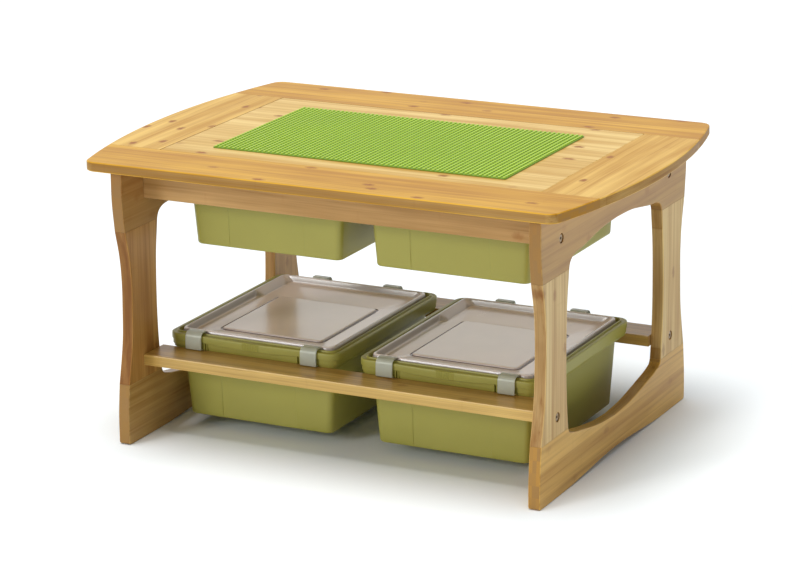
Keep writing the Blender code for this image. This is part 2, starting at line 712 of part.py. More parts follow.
def buildLatch(name, centre, sign, lid):
    """Snap latch hinged along X on the lid edge, hooked under the tub rim."""
    loops = []
    half = LATCH_WIDTH / 2
    for along, shrink in ((-half, 0.5), (-half + 0.5, 0.0), (half - 0.5, 0.0), (half, 0.5)):
        loop = []
        section = latchSection()
        edges = [1.0] * len(section)
        for out, up in insetOutline(section, edges, shrink):
            loop.append((along, sign * out, up))
        loops.append(loop)
    latch = addObject(name, stackMesh(name, loops), latchMaterial(f"{name}_plastic"), True)
    latch.parent = lid
    latch.location = (centre * MM, sign * LATCH_AXIS_Y * MM, LATCH_AXIS_Z * MM)
    return latch


def buildTubs():
    """Upper tubs under the panel, lower tubs with lids and latches on the shelf rails."""
    pieces = []
    for label, x in zip(("left", "right"), UPPER_TUB_X):
        pieces.append(buildTub(f"upper_{label}_tub", x, UPPER_TUB_Z))
    for label, x in zip(("left", "right"), LOWER_TUB_X):
        pieces.append(buildTub(f"lower_{label}_tub", x, LOWER_TUB_Z))
        lid = buildLid(f"{label}_lid", x, LOWER_TUB_Z)
        pieces.append(lid)
        for where, sign, offset in (("front", -1, LATCH_FRONT_X), ("rear", 1, LATCH_REAR_X)):
            for number, centre in (("a", -offset), ("b", offset)):
                pieces.append(buildLatch(f"{label}_{where}_latch_{number}", centre, sign, lid))
    return pieces


def buildTable():
    clearScene()
    for side, label in ((-1, "left"), (1, "right")):
        buildEndFrame(side, label)
    buildTopRail("front", -1, 1.0)
    buildTopRail("rear", 1, 0.97)
    buildTopEnd("left", -1, 1.02)
    buildTopEnd("right", 1, 1.04)
    buildPanel()
    buildStudPlate()
    buildCrossBoards()
    buildSupports()
    buildFasteners()
    buildTubs()


buildTable()
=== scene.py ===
# Sensory play table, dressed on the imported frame.
# X runs along the table, the front side faces -Y, the floor is at Z = 0.
# Sizes in the dictionaries are millimetres, unless a note says otherwise.
import math
from functools import partial

import bpy
import numpy as np
from mathutils import Matrix, Vector


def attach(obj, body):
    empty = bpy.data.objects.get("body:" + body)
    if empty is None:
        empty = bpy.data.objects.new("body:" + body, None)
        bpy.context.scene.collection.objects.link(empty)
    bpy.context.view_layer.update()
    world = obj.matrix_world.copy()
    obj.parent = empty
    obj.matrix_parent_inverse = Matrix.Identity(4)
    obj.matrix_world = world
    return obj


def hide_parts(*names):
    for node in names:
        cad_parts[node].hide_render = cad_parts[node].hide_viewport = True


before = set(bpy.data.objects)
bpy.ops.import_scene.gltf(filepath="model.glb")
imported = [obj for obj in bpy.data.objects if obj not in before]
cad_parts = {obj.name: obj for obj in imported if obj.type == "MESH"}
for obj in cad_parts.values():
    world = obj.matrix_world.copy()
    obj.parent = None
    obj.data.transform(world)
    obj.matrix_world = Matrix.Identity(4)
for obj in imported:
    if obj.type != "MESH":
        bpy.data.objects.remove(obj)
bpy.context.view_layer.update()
print("frame loaded:", len(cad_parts), "nodes")

mm = 0.001


# Mesh helpers

def meshFromArrays(name, points, faces, material, sharpAngle=32.0):
    # points in millimetres, faces as lists of indices
    mesh = bpy.data.meshes.new(name)
    mesh.from_pydata((np.asarray(points, dtype=float) * mm).tolist(), [], faces)
    mesh.update()
    mesh.polygons.foreach_set("use_smooth", np.ones(len(mesh.polygons), dtype=bool))
    mesh.set_sharp_from_angle(angle=math.radians(sharpAngle))
    mesh.materials.append(material)
    piece = bpy.data.objects.new(name, mesh)
    bpy.context.scene.collection.objects.link(piece)
    return piece


def closedStack(grid, start=0):
    # quads between ring r, point c and their neighbours on the next ring; the first and the last ring filled
    rows, columns = grid.shape[:2]
    r, c = np.meshgrid(np.arange(rows - 1), np.arange(columns), indexing="ij")
    after = (c + 1) % columns
    ring = r * columns + start
    quads = np.stack([ring + c, ring + after, ring + columns + after, ring + columns + c], axis=-1)
    first = np.arange(columns) + start
    return [*quads.reshape(-1, 4).tolist(), first[::-1].tolist(), (first + (rows - 1) * columns).tolist()]


def insetDirections(outline, free):
    # each corner moves where its two edges meet once both have shifted inwards by their share,
    # which is 1 on a free edge and 0 on a glued one
    edge = np.roll(outline, -1, axis=0) - outline
    edge = edge / np.linalg.norm(edge, axis=1)[:, None]
    n2 = np.stack([-edge[:, 1], edge[:, 0]], axis=1)
    n1 = np.roll(n2, 1, axis=0)
    a, b = np.roll(free, 1), free
    det = n1[:, 0] * n2[:, 1] - n1[:, 1] * n2[:, 0]
    nearlyStraight = np.abs(det) < 0.06
    safe = np.where(nearlyStraight, 1.0, det)
    solved = np.stack([a * n2[:, 1] - b * n1[:, 1], b * n1[:, 0] - a * n2[:, 0]], axis=1) / safe[:, None]
    mean = (n1 + n2) * 0.25 * (a + b)[:, None]
    return np.where(nearlyStraight[:, None], mean, solved)


def edgeProfile(low, high, radius, steps=4):
    # inset and height of each ring: quarter circle up to the side, then the same mirrored at the top
    t = np.linspace(0.0, math.pi / 2, steps + 1)
    inset = radius * (1.0 - np.sin(t))
    rise = radius * (1.0 - np.cos(t))
    rows = np.stack([inset, low + rise], axis=1)
    tall = np.array([[0.0, low + radius + 0.5], [0.0, high - radius - 0.5]])
    top = np.stack([inset[::-1], high - rise[::-1]], axis=1)
    return np.vstack([[radius + 0.7, low], rows, tall, top, [radius + 0.7, high]])


def boardSolid(name, outline, free, low, high, radius, place, material, steps=4):
    # outline (n, 2) carried through the edge profile; place turns (a, b, depth) arrays into X, Y, Z
    direction = insetDirections(outline, free)
    profile = edgeProfile(low, high, radius, steps)
    flat = outline[None, :, :] + direction[None, :, :] * profile[:, 0][:, None, None]
    depth = np.broadcast_to(profile[:, 1][:, None], flat.shape[:2])
    return stackPiece(name, np.stack(place(flat[..., 0], flat[..., 1], depth), axis=-1), material)


def faceOutwards(piece):
    # turn every face round where the signed volume comes out negative
    mesh = piece.data
    mesh.calc_loop_triangles()
    corner = np.empty(len(mesh.vertices) * 3)
    mesh.vertices.foreach_get("co", corner)
    corner = corner.reshape(-1, 3)
    index = np.empty(len(mesh.loop_triangles) * 3, dtype=int)
    mesh.loop_triangles.foreach_get("vertices", index)
    a, b, c = (corner[index.reshape(-1, 3)[:, k]] for k in range(3))
    if float(np.sum(np.cross(a, b) * c)) < 0:
        mesh.flip_normals()


def stackPiece(name, grid, material, sharpAngle=32.0):
    piece = meshFromArrays(name, grid.reshape(-1, 3), closedStack(grid), material, sharpAngle)
    faceOutwards(piece)
    return piece


def smoothCurve(points, steps=8):
    # Catmull-Rom curve through the points, all spans worked out at once
    knots = np.asarray(points, dtype=float)
    padded = np.vstack([2 * knots[0] - knots[1], knots, 2 * knots[-1] - knots[-2]])
    a, b, c, d = (padded[k:len(padded) - 3 + k][:, None, :] for k in range(4))
    t = (np.arange(steps) / steps)[None, :, None]
    square = 2 * a - 5 * b + 4 * c - d
    cube = 3 * b - a - 3 * c + d
    curve = 0.5 * (2 * b + (c - a) * t + square * t ** 2 + cube * t ** 3)
    return np.vstack([curve.reshape(-1, 2), knots[-1]])


def cutWith(piece, cutters):
    # exact boolean differences, applied at once, cutters removed
    for cutter in cutters:
        step = piece.modifiers.new("bore", "BOOLEAN")
        step.operation = "DIFFERENCE"
        step.solver = "EXACT"
        step.object = cutter
    graph = bpy.context.evaluated_depsgraph_get()
    cutMesh = bpy.data.meshes.new_from_object(piece.evaluated_get(graph))
    piece.modifiers.clear()
    piece.data = cutMesh
    cutMesh.set_sharp_from_angle(angle=math.radians(32.0))
    for cutter in cutters:
        bpy.data.objects.remove(cutter, do_unlink=True)


def turnedPart(name, profile, side, across, height, material, shape=None):
    # profile (k, 2) of radius and distance along X, turned round the line at this Y and Z; shape bends rings
    profile = np.asarray(profile, dtype=float)
    angle = np.linspace(0.0, 2 * math.pi, 48, endpoint=False)
    radius = np.repeat(profile[:, :1], len(angle), axis=1)
    if shape is not None:
        radius = shape(radius, angle)
    along = np.repeat(profile[:, 1:], len(angle), axis=1) * side
    grid = np.stack([along, radius * np.cos(angle) + across, radius * np.sin(angle) + height], axis=-1)
    return stackPiece(name, grid, material)


def dress(piece, body, node):
    # the piece rides on the body and stands for the node
    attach(piece, body)
    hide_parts(node)
    return piece


# Shader helpers

def addNode(tree, kind, **settings):
    node = tree.nodes.new(kind)
    for key, value in settings.items():
        setattr(node, key, value)
    return node


def feed(tree, socket, value):
    # a number or a colour is set on the socket, an output is linked to it
    if isinstance(value, (int, float)):
        socket.default_value = value
    elif isinstance(value, (tuple, list)):
        socket.default_value = (*value, 1.0) if socket.type == "RGBA" else value
    else:
        tree.links.new(value, socket)


def feedAll(tree, node, values):
    for key, value in values.items():
        feed(tree, node.inputs[key], value)
    return node


def mathNode(tree, operation, *values, clamp=False):
    node = addNode(tree, "ShaderNodeMath", operation=operation, use_clamp=clamp)
    return feedAll(tree, node, dict(enumerate(values))).outputs[0]


def oneMinus(tree, value):
    return mathNode(tree, "SUBTRACT", 1.0, value)


def fromMiddle(tree, value):
    # |value - 1/2|
    return mathNode(tree, "ABSOLUTE", mathNode(tree, "SUBTRACT", value, 0.5))


def addCentred(tree, value, weight, total, clamp=False):
    # total + weight * (value - 1/2)
    return mathNode(tree, "MULTIPLY_ADD", mathNode(tree, "SUBTRACT", value, 0.5), weight, total, clamp=clamp)


def mixColour(tree, factor, first, second, blend="MIX"):
    node = addNode(tree, "ShaderNodeMix", data_type="RGBA", blend_type=blend)
    return feedAll(tree, node, {0: factor, 6: first, 7: second}).outputs[2]


def softStep(tree, value, low, high):
    # 0 below low, 1 above high, smooth between
    node = addNode(tree, "ShaderNodeMapRange", interpolation_type="SMOOTHSTEP")
    return feedAll(tree, node, {0: value, 1: low, 2: high}).outputs[0]


def splitVector(tree, vector):
    return feedAll(tree, addNode(tree, "ShaderNodeSeparateXYZ"), {0: vector}).outputs


def joinVector(tree, *values):
    return feedAll(tree, addNode(tree, "ShaderNodeCombineXYZ"), dict(enumerate(values))).outputs[0]


def stretched(tree, vector, factors):
    node = addNode(tree, "ShaderNodeVectorMath", operation="MULTIPLY")
    return feedAll(tree, node, {0: vector, 1: factors}).outputs[0]


def noiseOf(tree, vector, scale, detail, roughness=0.5):
    values = {"Vector": vector, "Scale": scale, "Detail": detail, "Roughness": roughness}
    return feedAll(tree, addNode(tree, "ShaderNodeTexNoise"), values).outputs["Fac"]


def randomOf(tree, first, second):
    # one random number for each pair of whole numbers
    node = addNode(tree, "ShaderNodeTexWhiteNoise", noise_dimensions="2D")
    return feedAll(tree, node, {"Vector": joinVector(tree, first, second)}).outputs["Value"]


def newGroup(name, inputs):
    # an input is a vector where its default is None, else a colour or a number
    tree = bpy.data.node_groups.new(name, "ShaderNodeTree")
    for label, value in inputs.items():
        kind = "Vector" if value is None else "Color" if isinstance(value, tuple) else "Float"
        socket = tree.interface.new_socket(name=label, in_out="INPUT", socket_type=f"NodeSocket{kind}")
        if value is not None:
            socket.default_value = (*value, 1.0) if kind == "Color" else value
    for label, kind in (("Color", "Color"), ("Gloss", "Float"), ("Height", "Float")):
        tree.interface.new_socket(name=label, in_out="OUTPUT", socket_type=f"NodeSocket{kind}")
    return tree, addNode(tree, "NodeGroupInput").outputs, addNode(tree, "NodeGroupOutput")


def newMaterial(name):
    material = bpy.data.materials.new(name)
    material.use_nodes = True
    return material, material.node_tree, material.node_tree.nodes["Principled BSDF"]


def wearGroup(tree, shader, group, bumpStrength, bumpDepth, **values):
    # the group's colour and gloss on the shader, its height as bump
    skin = feedAll(tree, addNode(tree, "ShaderNodeGroup", node_tree=group), values).outputs
    bump = {"Height": skin["Height"], "Strength": bumpStrength, "Distance": bumpDepth}
    normal = feedAll(tree, addNode(tree, "ShaderNodeBump"), bump).outputs["Normal"]
    feedAll(tree, shader, {"Base Color": skin["Color"], "Roughness": skin["Gloss"], "Normal": normal})


nodeGrid = (220, 190)          # column width and row height in the shader editor


def arrange(tree):
    # a node stands one column left of the last node that it feeds, and below its neighbours in that column
    column = {node.name: 0 for node in tree.nodes}
    for _ in column:
        for link in tree.links:
            column[link.from_node.name] = max(column[link.from_node.name], column[link.to_node.name] + 1)
    filled = {}
    for node in tree.nodes:
        place = column[node.name]
        node.location = (-nodeGrid[0] * place, -nodeGrid[1] * filled.get(place, 0))
        filled[place] = filled.get(place, 0) + 1


# Bamboo

bamboo = {
    "stripWidth": 0.0195,      # glued strips, metres
    "nodeSpacing": 0.27,       # mean distance of the stem knots along a strip, metres
    "knotLength": 0.0140,      # half length of a knot mark, metres
    "fibres": (2.6, 190.0, 190.0),
    "streaks": (3.0, 60.0, 60.0),
    "patches": 5.0,
    "pores": 900.0,
    "pale": (0.820, 0.560, 0.262),
    "honey": (0.640, 0.352, 0.100),
    "knot": (0.300, 0.090, 0.006),
    "endGrain": (0.330, 0.180, 0.062),
    "edgeTint": (0.560, 0.470, 0.420),
    "base": 0.46,              # share of the pale tone, and how far each pattern shifts it
    "stripShift": 0.55,
    "streakShift": 2.1,
    "patchShift": 1.1,
    "fibreShift": 1.35,
    "vein": 0.30,              # strength of the dark lines
    "seam": 0.20,
    "ridge": 0.06,
    "layerLine": 0.35,
    "core": 0.16,
    "bumpStrength": 0.12,
    "bumpDepth": 0.0006,
}


def bambooGroup():
    # strips across Y, grain along X, layers along Z of the incoming vector
    tree, source, target = newGroup("bambooStrips", {
        "Vector": None, "Facing": 0.0, "Seed": 0.0, "Pale": bamboo["pale"], "Honey": bamboo["honey"],
        "Knots": 0.7, "Layers": 0.6, "Thick": 0.018, "Side": 0.0, "Edge": 0.5, "Tint": bamboo["edgeTint"]})
    calc, mix, step = (partial(make, tree) for make in (mathNode, mixColour, softStep))
    vector, seed = source["Vector"], source["Seed"]
    along, across, depth = splitVector(tree, vector)

    # each strip has its own number, and a random one made from it
    strip = calc("ADD", calc("DIVIDE", across, bamboo["stripWidth"]), seed)
    stripIndex = calc("FLOOR", strip)
    stripOff = fromMiddle(tree, calc("SUBTRACT", strip, stripIndex))
    stripRandom = addNode(tree, "ShaderNodeTexWhiteNoise", noise_dimensions="1D")
    feed(tree, stripRandom.inputs["W"], calc("MULTIPLY_ADD", seed, 17.31, stripIndex))
    tint = stripRandom.outputs["Value"]

    # stem knots: one every node spacing along each strip, shifted at random from strip to strip
    run = calc("MULTIPLY_ADD", tint, 7.3, calc("DIVIDE", along, bamboo["nodeSpacing"]))
    runIndex = calc("FLOOR", run)
    runOff = fromMiddle(tree, calc("SUBTRACT", run, runIndex))
    reach = calc("MULTIPLY", runOff, bamboo["nodeSpacing"] / bamboo["knotLength"])
    breadth = calc("MULTIPLY", stripOff, 2.5)
    lens = calc("SQRT", calc("ADD", calc("POWER", reach, 2.0), calc("POWER", breadth, 2.0)))
    lens = addCentred(tree, noiseOf(tree, vector, 190.0, 2.0), 0.9, lens)
    strength = step(randomOf(tree, stripIndex, runIndex), 0.45, 0.75)
    knot = calc("MULTIPLY", oneMinus(tree, step(lens, 0.25, 1.0)), strength)
    knot = calc("MULTIPLY", knot, source["Knots"], clamp=True)
    # faint tone change on either side of a knot line
    ridge = oneMinus(tree, step(reach, 0.02, 0.2))

    # noise drawn out along the grain, fine and coarse, and wide patches
    fibre = noiseOf(tree, stretched(tree, vector, bamboo["fibres"]), 1.0, 5.0, 0.6)
    streak = noiseOf(tree, stretched(tree, vector, bamboo["streaks"]), 1.0, 3.0)
    patch = noiseOf(tree, vector, bamboo["patches"], 2.0)
    tone = addCentred(tree, tint, bamboo["stripShift"], bamboo["base"])
    tone = addCentred(tree, streak, bamboo["streakShift"], tone)
    tone = addCentred(tree, patch, bamboo["patchShift"], tone)
    tone = addCentred(tree, fibre, bamboo["fibreShift"], tone, clamp=True)
    colour = mix(tone, source["Honey"], source["Pale"])

    # thin brown streaks in the deepest fibres, hair-thin glue lines between strips, ridges and knots
    vein = calc("MULTIPLY", oneMinus(tree, step(fibre, 0.30, 0.42)), bamboo["vein"])
    seam = calc("MULTIPLY", step(stripOff, 0.475, 0.5), bamboo["seam"])
    for mark in (vein, seam, calc("MULTIPLY", ridge, bamboo["ridge"]), knot):
        colour = mix(mark, colour, bamboo["knot"])

    # three glued layers show on the edges of a board
    layer = calc("DIVIDE", calc("MULTIPLY", depth, 3.0), source["Thick"])
    line = step(fromMiddle(tree, calc("FRACT", layer)), 0.44, 0.5)
    core = calc("COMPARE", layer, 1.5, 0.5)
    edgeShade = calc("MULTIPLY_ADD", line, bamboo["layerLine"], calc("MULTIPLY", core, bamboo["core"]))
    edgeShade = calc("MULTIPLY", edgeShade, source["Layers"])
    narrow = step(source["Side"], 0.5, 0.9)
    edgeShade = calc("MULTIPLY_ADD", calc("MULTIPLY", line, narrow), bamboo["layerLine"], edgeShade)
    colour = mix(edgeShade, colour, bamboo["endGrain"])

    # the narrow sides of a board are browner than its faces
    browner = mix(1.0, colour, source["Tint"], "MULTIPLY")
    colour = mix(calc("MULTIPLY", narrow, source["Edge"]), colour, browner)

    # end grain: small darker blocks where the face looks along the grain
    blocks = randomOf(tree, calc("FLOOR", layer), stripIndex)
    pores = feedAll(tree, addNode(tree, "ShaderNodeTexVoronoi"), {"Vector": vector, "Scale": bamboo["pores"]})
    dots = oneMinus(tree, step(pores.outputs["Distance"], 0.1, 0.5))
    grainMix = calc("MULTIPLY_ADD", dots, 0.18, calc("MULTIPLY_ADD", blocks, 0.5, 0.30))
    grain = mix(grainMix, source["Honey"], bamboo["endGrain"])
    facing = step(source["Facing"], 0.80, 0.95)

    gloss = calc("MULTIPLY_ADD", facing, 0.12, calc("MULTIPLY_ADD", streak, 0.14, 0.26))
    height = calc("MULTIPLY_ADD", fibre, 0.35, calc("MULTIPLY", ridge, 0.5))
    height = calc("MULTIPLY_ADD", seam, -1.2, height)
    feedAll(tree, target, {"Color": mix(facing, colour, grain), "Gloss": gloss, "Height": height})
    arrange(tree)
    return tree


bambooTree = bambooGroup()


def bambooMaterial(name, grain, start, seed, pale=bamboo["pale"], honey=bamboo["honey"], knots=0.7,
                   layers=0.6, across=None, thick=18.0, edge=0.5, shine=0.22, tint=bamboo["edgeTint"]):
    # grain is the axis of the fibres, across that of the strips; the pattern is counted from start
    across = across if across is not None else {0: 1, 1: 2, 2: 1}[grain]
    depth = 3 - grain - across
    material, tree, shader = newMaterial(name)
    place = addNode(tree, "ShaderNodeTexCoord").outputs
    position = splitVector(tree, place["Object"])
    normal = splitVector(tree, place["Normal"])
    turned = [mathNode(tree, "SUBTRACT", position[axis], start[axis] * mm) for axis in (grain, across, depth)]
    wearGroup(tree, shader, bambooTree, bamboo["bumpStrength"], bamboo["bumpDepth"],
              Vector=joinVector(tree, *turned), Facing=mathNode(tree, "ABSOLUTE", normal[grain]), Seed=seed,
              Pale=pale, Honey=honey, Knots=knots, Layers=layers, Thick=thick * mm,
              Side=oneMinus(tree, mathNode(tree, "ABSOLUTE", normal[depth])), Edge=edge, Tint=tint)
    feedAll(tree, shader, {"Specular IOR Level": shine, "IOR": 1.48})
    arrange(tree)
    return material


# Plastics and metal

plastics = {
    "tub": (0.370, 0.338, 0.060),
    "plate": (0.460, 0.640, 0.075),
    # painted shade on the plate's sheet between the studs
    "plateGapShade": (0.170, 0.300, 0.020),
    "lid": (1.000, 0.830, 0.750),
    # painted light on the lid: shade on its steep faces, a highlight on the bead's crest, shade in its sunk
    # line
    "lidSteepShade": (0.330, 0.290, 0.250),
    "lidCrestHighlight": (1.000, 0.980, 0.950),
    "lidGrooveShade": (0.160, 0.090, 0.080),
    "latch": (0.690, 0.700, 0.560),
    "zincDark": (0.20, 0.13, 0.07),
    "zincLight": (0.36, 0.26, 0.15),
}


def plasticGrainGroup():
    # fine moulded texture and slow tone change
    tree, source, target = newGroup(
        "mouldedSkin", {"Vector": None, "Color": (0.5, 0.5, 0.5), "Roughness": 0.4})
    fine = noiseOf(tree, source["Vector"], 900.0, 3.0)
    slow = noiseOf(tree, source["Vector"], 9.0, 3.0)
    value = mathNode(tree, "MULTIPLY_ADD", slow, 0.16, 0.92)
    shade = addNode(tree, "ShaderNodeHueSaturation")
    feedAll(tree, shade, {"Value": value, "Color": source["Color"]})
    gloss = mathNode(tree, "MULTIPLY_ADD", slow, 0.12, source["Roughness"])
    gloss = mathNode(tree, "MULTIPLY_ADD", fine, 0.05, gloss)
    feedAll(tree, target, {"Color": shade.outputs["Color"], "Gloss": gloss, "Height": fine})
    arrange(tree)
    return tree


skinTree = plasticGrainGroup()


def mouldedMaterial(name, colour, roughness, bumpStrength=0.06, transmission=0.0, paintedLight=None):
    # the painted shade and highlight step, where given, goes on from the skin's colour
    material, tree, shader = newMaterial(name)
    place = addNode(tree, "ShaderNodeTexCoord").outputs
    wearGroup(tree, shader, skinTree, bumpStrength, 0.0003,
              Vector=place["Object"], Color=colour, Roughness=roughness)
    feedAll(tree, shader, {"Transmission Weight": transmission, "IOR": 1.49})
    if paintedLight is not None:
        paintedLight(tree, shader, shader.inputs["Base Color"].links[0].from_socket, place)
    arrange(tree)
    return material


def lidPaintedLight(tree, shader, colour, place):
    # milky sheet with painted light: painted shade where it stands steep, a whiter painted highlight on the
    # bead, painted shade of dark mauve in the sunk line
    height = mathNode(tree, "SUBTRACT", splitVector(tree, place["Object"])[2], lidSeat * mm)
    level = mathNode(tree, "ABSOLUTE", splitVector(tree, place["Normal"])[2])
    steep = mathNode(tree, "MULTIPLY", oneMinus(tree, softStep(tree, level, 0.25, 0.85)), 0.75)
    crest = mathNode(tree, "MULTIPLY", softStep(tree, height, 0.0096, 0.0106), 0.6)
    groove = oneMinus(tree, softStep(tree, height, -0.0018, -0.0014))
    for mask, tone in ((steep, "lidSteepShade"), (crest, "lidCrestHighlight"), (groove, "lidGrooveShade")):
        colour = mixColour(tree, mask, colour, plastics[tone])
    feedAll(tree, shader, {"Base Color": colour, "Coat Weight": 0.4, "Coat Roughness": 0.12})


def platePaintedShade(tree, shader, colour, place):
    # bright studs in the plate's own colour, painted shade of deeper green on the sheet between them
    height = splitVector(tree, place["Object"])[2]
    low = oneMinus(tree, softStep(tree, height, (sheetFace + 0.1) * mm, (sheetFace + 1.3) * mm))
    colour = mixColour(tree, low, colour, plastics["plateGapShade"])
    feedAll(tree, shader, {"Base Color": colour, "Specular IOR Level": 0.25})


def zincMaterial():
    material, tree, shader = newMaterial("zincPlate")
    brushed = noiseOf(tree, addNode(tree, "ShaderNodeTexCoord").outputs["Object"], 700.0, 4.0)
    colour = mixColour(tree, brushed, plastics["zincDark"], plastics["zincLight"])
    gloss = mathNode(tree, "MULTIPLY_ADD", brushed, 0.25, 0.15)
    feedAll(tree, shader, {"Base Color": colour, "Roughness": gloss, "Metallic": 1.0})
    arrange(tree)
    return material


sheetFace = 471.8              # upper face of the plate's sheet
lidSeat = 157.3                # underside of the lid's bead on a lower tub
tubPlastic = mouldedMaterial("olivePlastic", plastics["tub"], 0.34)
platePlastic = mouldedMaterial("limePlastic", plastics["plate"], 0.30, 0.02, paintedLight=platePaintedShade)
lidPlastic = mouldedMaterial("milkyLid", plastics["lid"], 0.16, 0.04, 0.03, lidPaintedLight)
latchPlastic = mouldedMaterial("milkyLatch", plastics["latch"], 0.24, 0.04, 0.35)
zinc = zincMaterial()
print("materials made")


# Table top

top = {
    "surface": 470.0,
    "thickness": 16.0,
    "halfDepth": 316.5,
    "endX": 443.2,             # bowed end on the centre line
    "bowRadius": 1213.0,
    "cornerRadius": 21.0,
    "edgeRound": 2.4,
    "openingX": 331.5,
    "openingY": 202.5,
    "glueGap": 0.3,
    "panelThickness": 11.7,
    "panelPlay": 0.5,
    "panelCorner": 3.0,
    "panelRound": 1.0,
}


def bowX(y):
    # circle of the end edge: x = end - R + sqrt(R^2 - y^2)
    return top["endX"] - top["bowRadius"] + np.sqrt(top["bowRadius"] ** 2 - np.asarray(y) ** 2)


def topSolid(node, outline, free, material):
    low = top["surface"] - top["thickness"]
    piece = boardSolid(f"{node}_board", outline, free, low, top["surface"], top["edgeRound"],
                       lambda a, b, c: (a, b, c), material, 6)
    dress(piece, "table", node)


def topRail(label, sign, material):
    # outline: bow from the opening line to the corner, quarter circle, and the same mirrored
    reach = top["halfDepth"] - top["cornerRadius"]
    inner = top["bowRadius"] - top["cornerRadius"]
    centreX = top["endX"] - top["bowRadius"] + math.sqrt(inner ** 2 - reach ** 2)
    start = math.asin(reach / inner)
    y = np.linspace(top["openingY"], top["bowRadius"] * math.sin(start), 24)
    angle = np.linspace(start, math.pi / 2, 17)[1:]
    corner = [centreX, reach] + top["cornerRadius"] * np.stack([np.cos(angle), np.sin(angle)], axis=1)
    right = np.vstack([np.stack([bowX(y), y], axis=1), corner])
    outline = np.vstack([right, right[::-1] * [-1, 1]])
    free = np.ones(len(outline))
    free[-1] = 0.0
    if sign < 0:
        outline = outline[::-1] * [1, -1]
        free = np.append(free[:-1][::-1], 0.0)
    topSolid(f"top_{label}_rail", outline, free, material)


def topEnd(label, side, material):
    # outline: straight at the opening, bowed outside; the bow is its only free edge
    reach = top["openingY"] - top["glueGap"]
    y = np.linspace(-reach, reach, 80)
    curve = np.stack([bowX(y), y], axis=1)
    outline = np.vstack([[top["openingX"], -reach], curve, [top["openingX"], reach]])
    free = np.concatenate([[0.0], np.ones(len(y) - 1), [0.0, 0.0]])
    if side < 0:
        outline = outline[::-1] * [-1, 1]
    topSolid(f"top_{label}_end", outline, free, material)


def roundRing(halfX, halfY, radius, corner=8, centre=(0.0, 0.0), sidesX=None, sideY=2):
    # rounded rectangle, counter-clockwise; its second half is the first one turned by half a turn
    turn = np.linspace(0.0, math.pi / 2, corner + 1)
    quarter = np.stack([np.cos(turn), np.sin(turn)], axis=1) * radius
    cx, cy = halfX - radius, halfY - radius
    up = np.linspace(-cy, cy, sideY + 2)[1:-1]
    across = np.array([]) if sidesX is None else np.asarray(sidesX, dtype=float)
    if len(across) and np.abs(across).max() > cx - 0.8:
        # stations past 100 are drawn in, so that they stay on the straight side
        far = 100.0 + (np.abs(across) - 100.0) * (cx - 100.8) / (np.abs(across).max() - 100.0)
        across = np.where(np.abs(across) > 100.0, np.sign(across) * far, across)
    half = np.vstack([
        np.stack([np.full(len(up), halfX), up], axis=1),
        quarter + [cx, cy],
        np.stack([across[::-1], np.full(len(across), halfY)], axis=1),
        quarter @ np.array([[0, 1], [-1, 0]]) + [-cx, cy],
    ])
    return np.vstack([half, -half]) + np.asarray(centre)


def stackRings(rings, heights):
    # flat rings (k, n, 2) lifted to their heights
    rings = np.asarray(rings)
    lifted = np.broadcast_to(np.asarray(heights, dtype=float)[:, None, None], (*rings.shape[:2], 1))
    return np.concatenate([rings, lifted], axis=-1)


plate = {
    "halfX": 256.0,
    "halfY": 152.0,
    "centre": (-4.0, -6.6),
    "base": 1.5,
    "gap": 0.3,                # between panel and plate
    "pitch": 8.0,
    "corner": 3.0,
    "studRadius": 2.45,
    "studHeight": 1.8,
    "studBevel": 0.22,
    "studRoot": 0.15,          # how deep a stud starts in the sheet
    "studSides": 12,
}


def playPanel(material):
    # rings from the underside over the rounded edge to the upper face
    hx = top["openingX"] - top["panelPlay"]
    hy = top["openingY"] - top["panelPlay"]
    low = top["surface"] - top["panelThickness"]
    profile = edgeProfile(low, top["surface"], top["panelRound"])
    rings = [roundRing(hx - inset, hy - inset, top["panelCorner"] - inset) for inset in profile[:, 0]]
    piece = stackPiece("play_panel_board", stackRings(rings, profile[:, 1]), material)
    dress(piece, "top_panel", "play_panel")


def studPlate(material):
    # base sheet, then every stud as the same small turned ring stack copied over the pitch grid
    low = top["surface"] + plate["gap"]
    high = low + plate["base"]
    hx, hy = plate["halfX"], plate["halfY"]
    rings = [roundRing(hx - inset, hy - inset, plate["corner"] - inset, centre=plate["centre"])
             for inset in (0.2, 0.0, 0.0, 0.3, 1.0)]
    base = stackRings(rings, [low, low + 0.2, high - 0.3, high, high])
    faces = closedStack(base)
    start = base.shape[0] * base.shape[1]

    sides, bevel = plate["studSides"], plate["studBevel"]
    angle = np.linspace(0.0, 2 * math.pi, sides, endpoint=False) + math.pi / sides
    radius = plate["studRadius"] - np.array([0.0, 0.0, bevel])
    level = np.array([-plate["studRoot"], plate["studHeight"] - bevel, plate["studHeight"]]) + high
    stud = stackRings(radius[:, None, None] * np.stack([np.cos(angle), np.sin(angle)], axis=1), level)
    columns, rows = (int(round(2 * half / plate["pitch"])) for half in (hx, hy))
    x = (np.arange(columns) - (columns - 1) / 2) * plate["pitch"] + plate["centre"][0]
    y = (np.arange(rows) - (rows - 1) / 2) * plate["pitch"] + plate["centre"][1]
    gx, gy = np.meshgrid(x, y, indexing="ij")
    shift = np.column_stack([gx.ravel(), gy.ravel(), np.zeros(gx.size)])
    studs = stud.reshape(1, -1, 3) + shift[:, None, :]
    offsets = start + np.arange(len(shift)) * stud.shape[0] * sides
    studFaces = closedStack(stud)
    for count in (4, sides):
        one = np.array([face for face in studFaces if len(face) == count])
        faces += (one[None] + offsets[:, None, None]).reshape(-1, count).tolist()
    points = np.vstack([base.reshape(-1, 3), studs.reshape(-1, 3)])
    piece = meshFromArrays("stud_plate_sheet", points, faces, material, 50.0)
    faceOutwards(piece)
    dress(piece, "top_panel", "stud_plate")


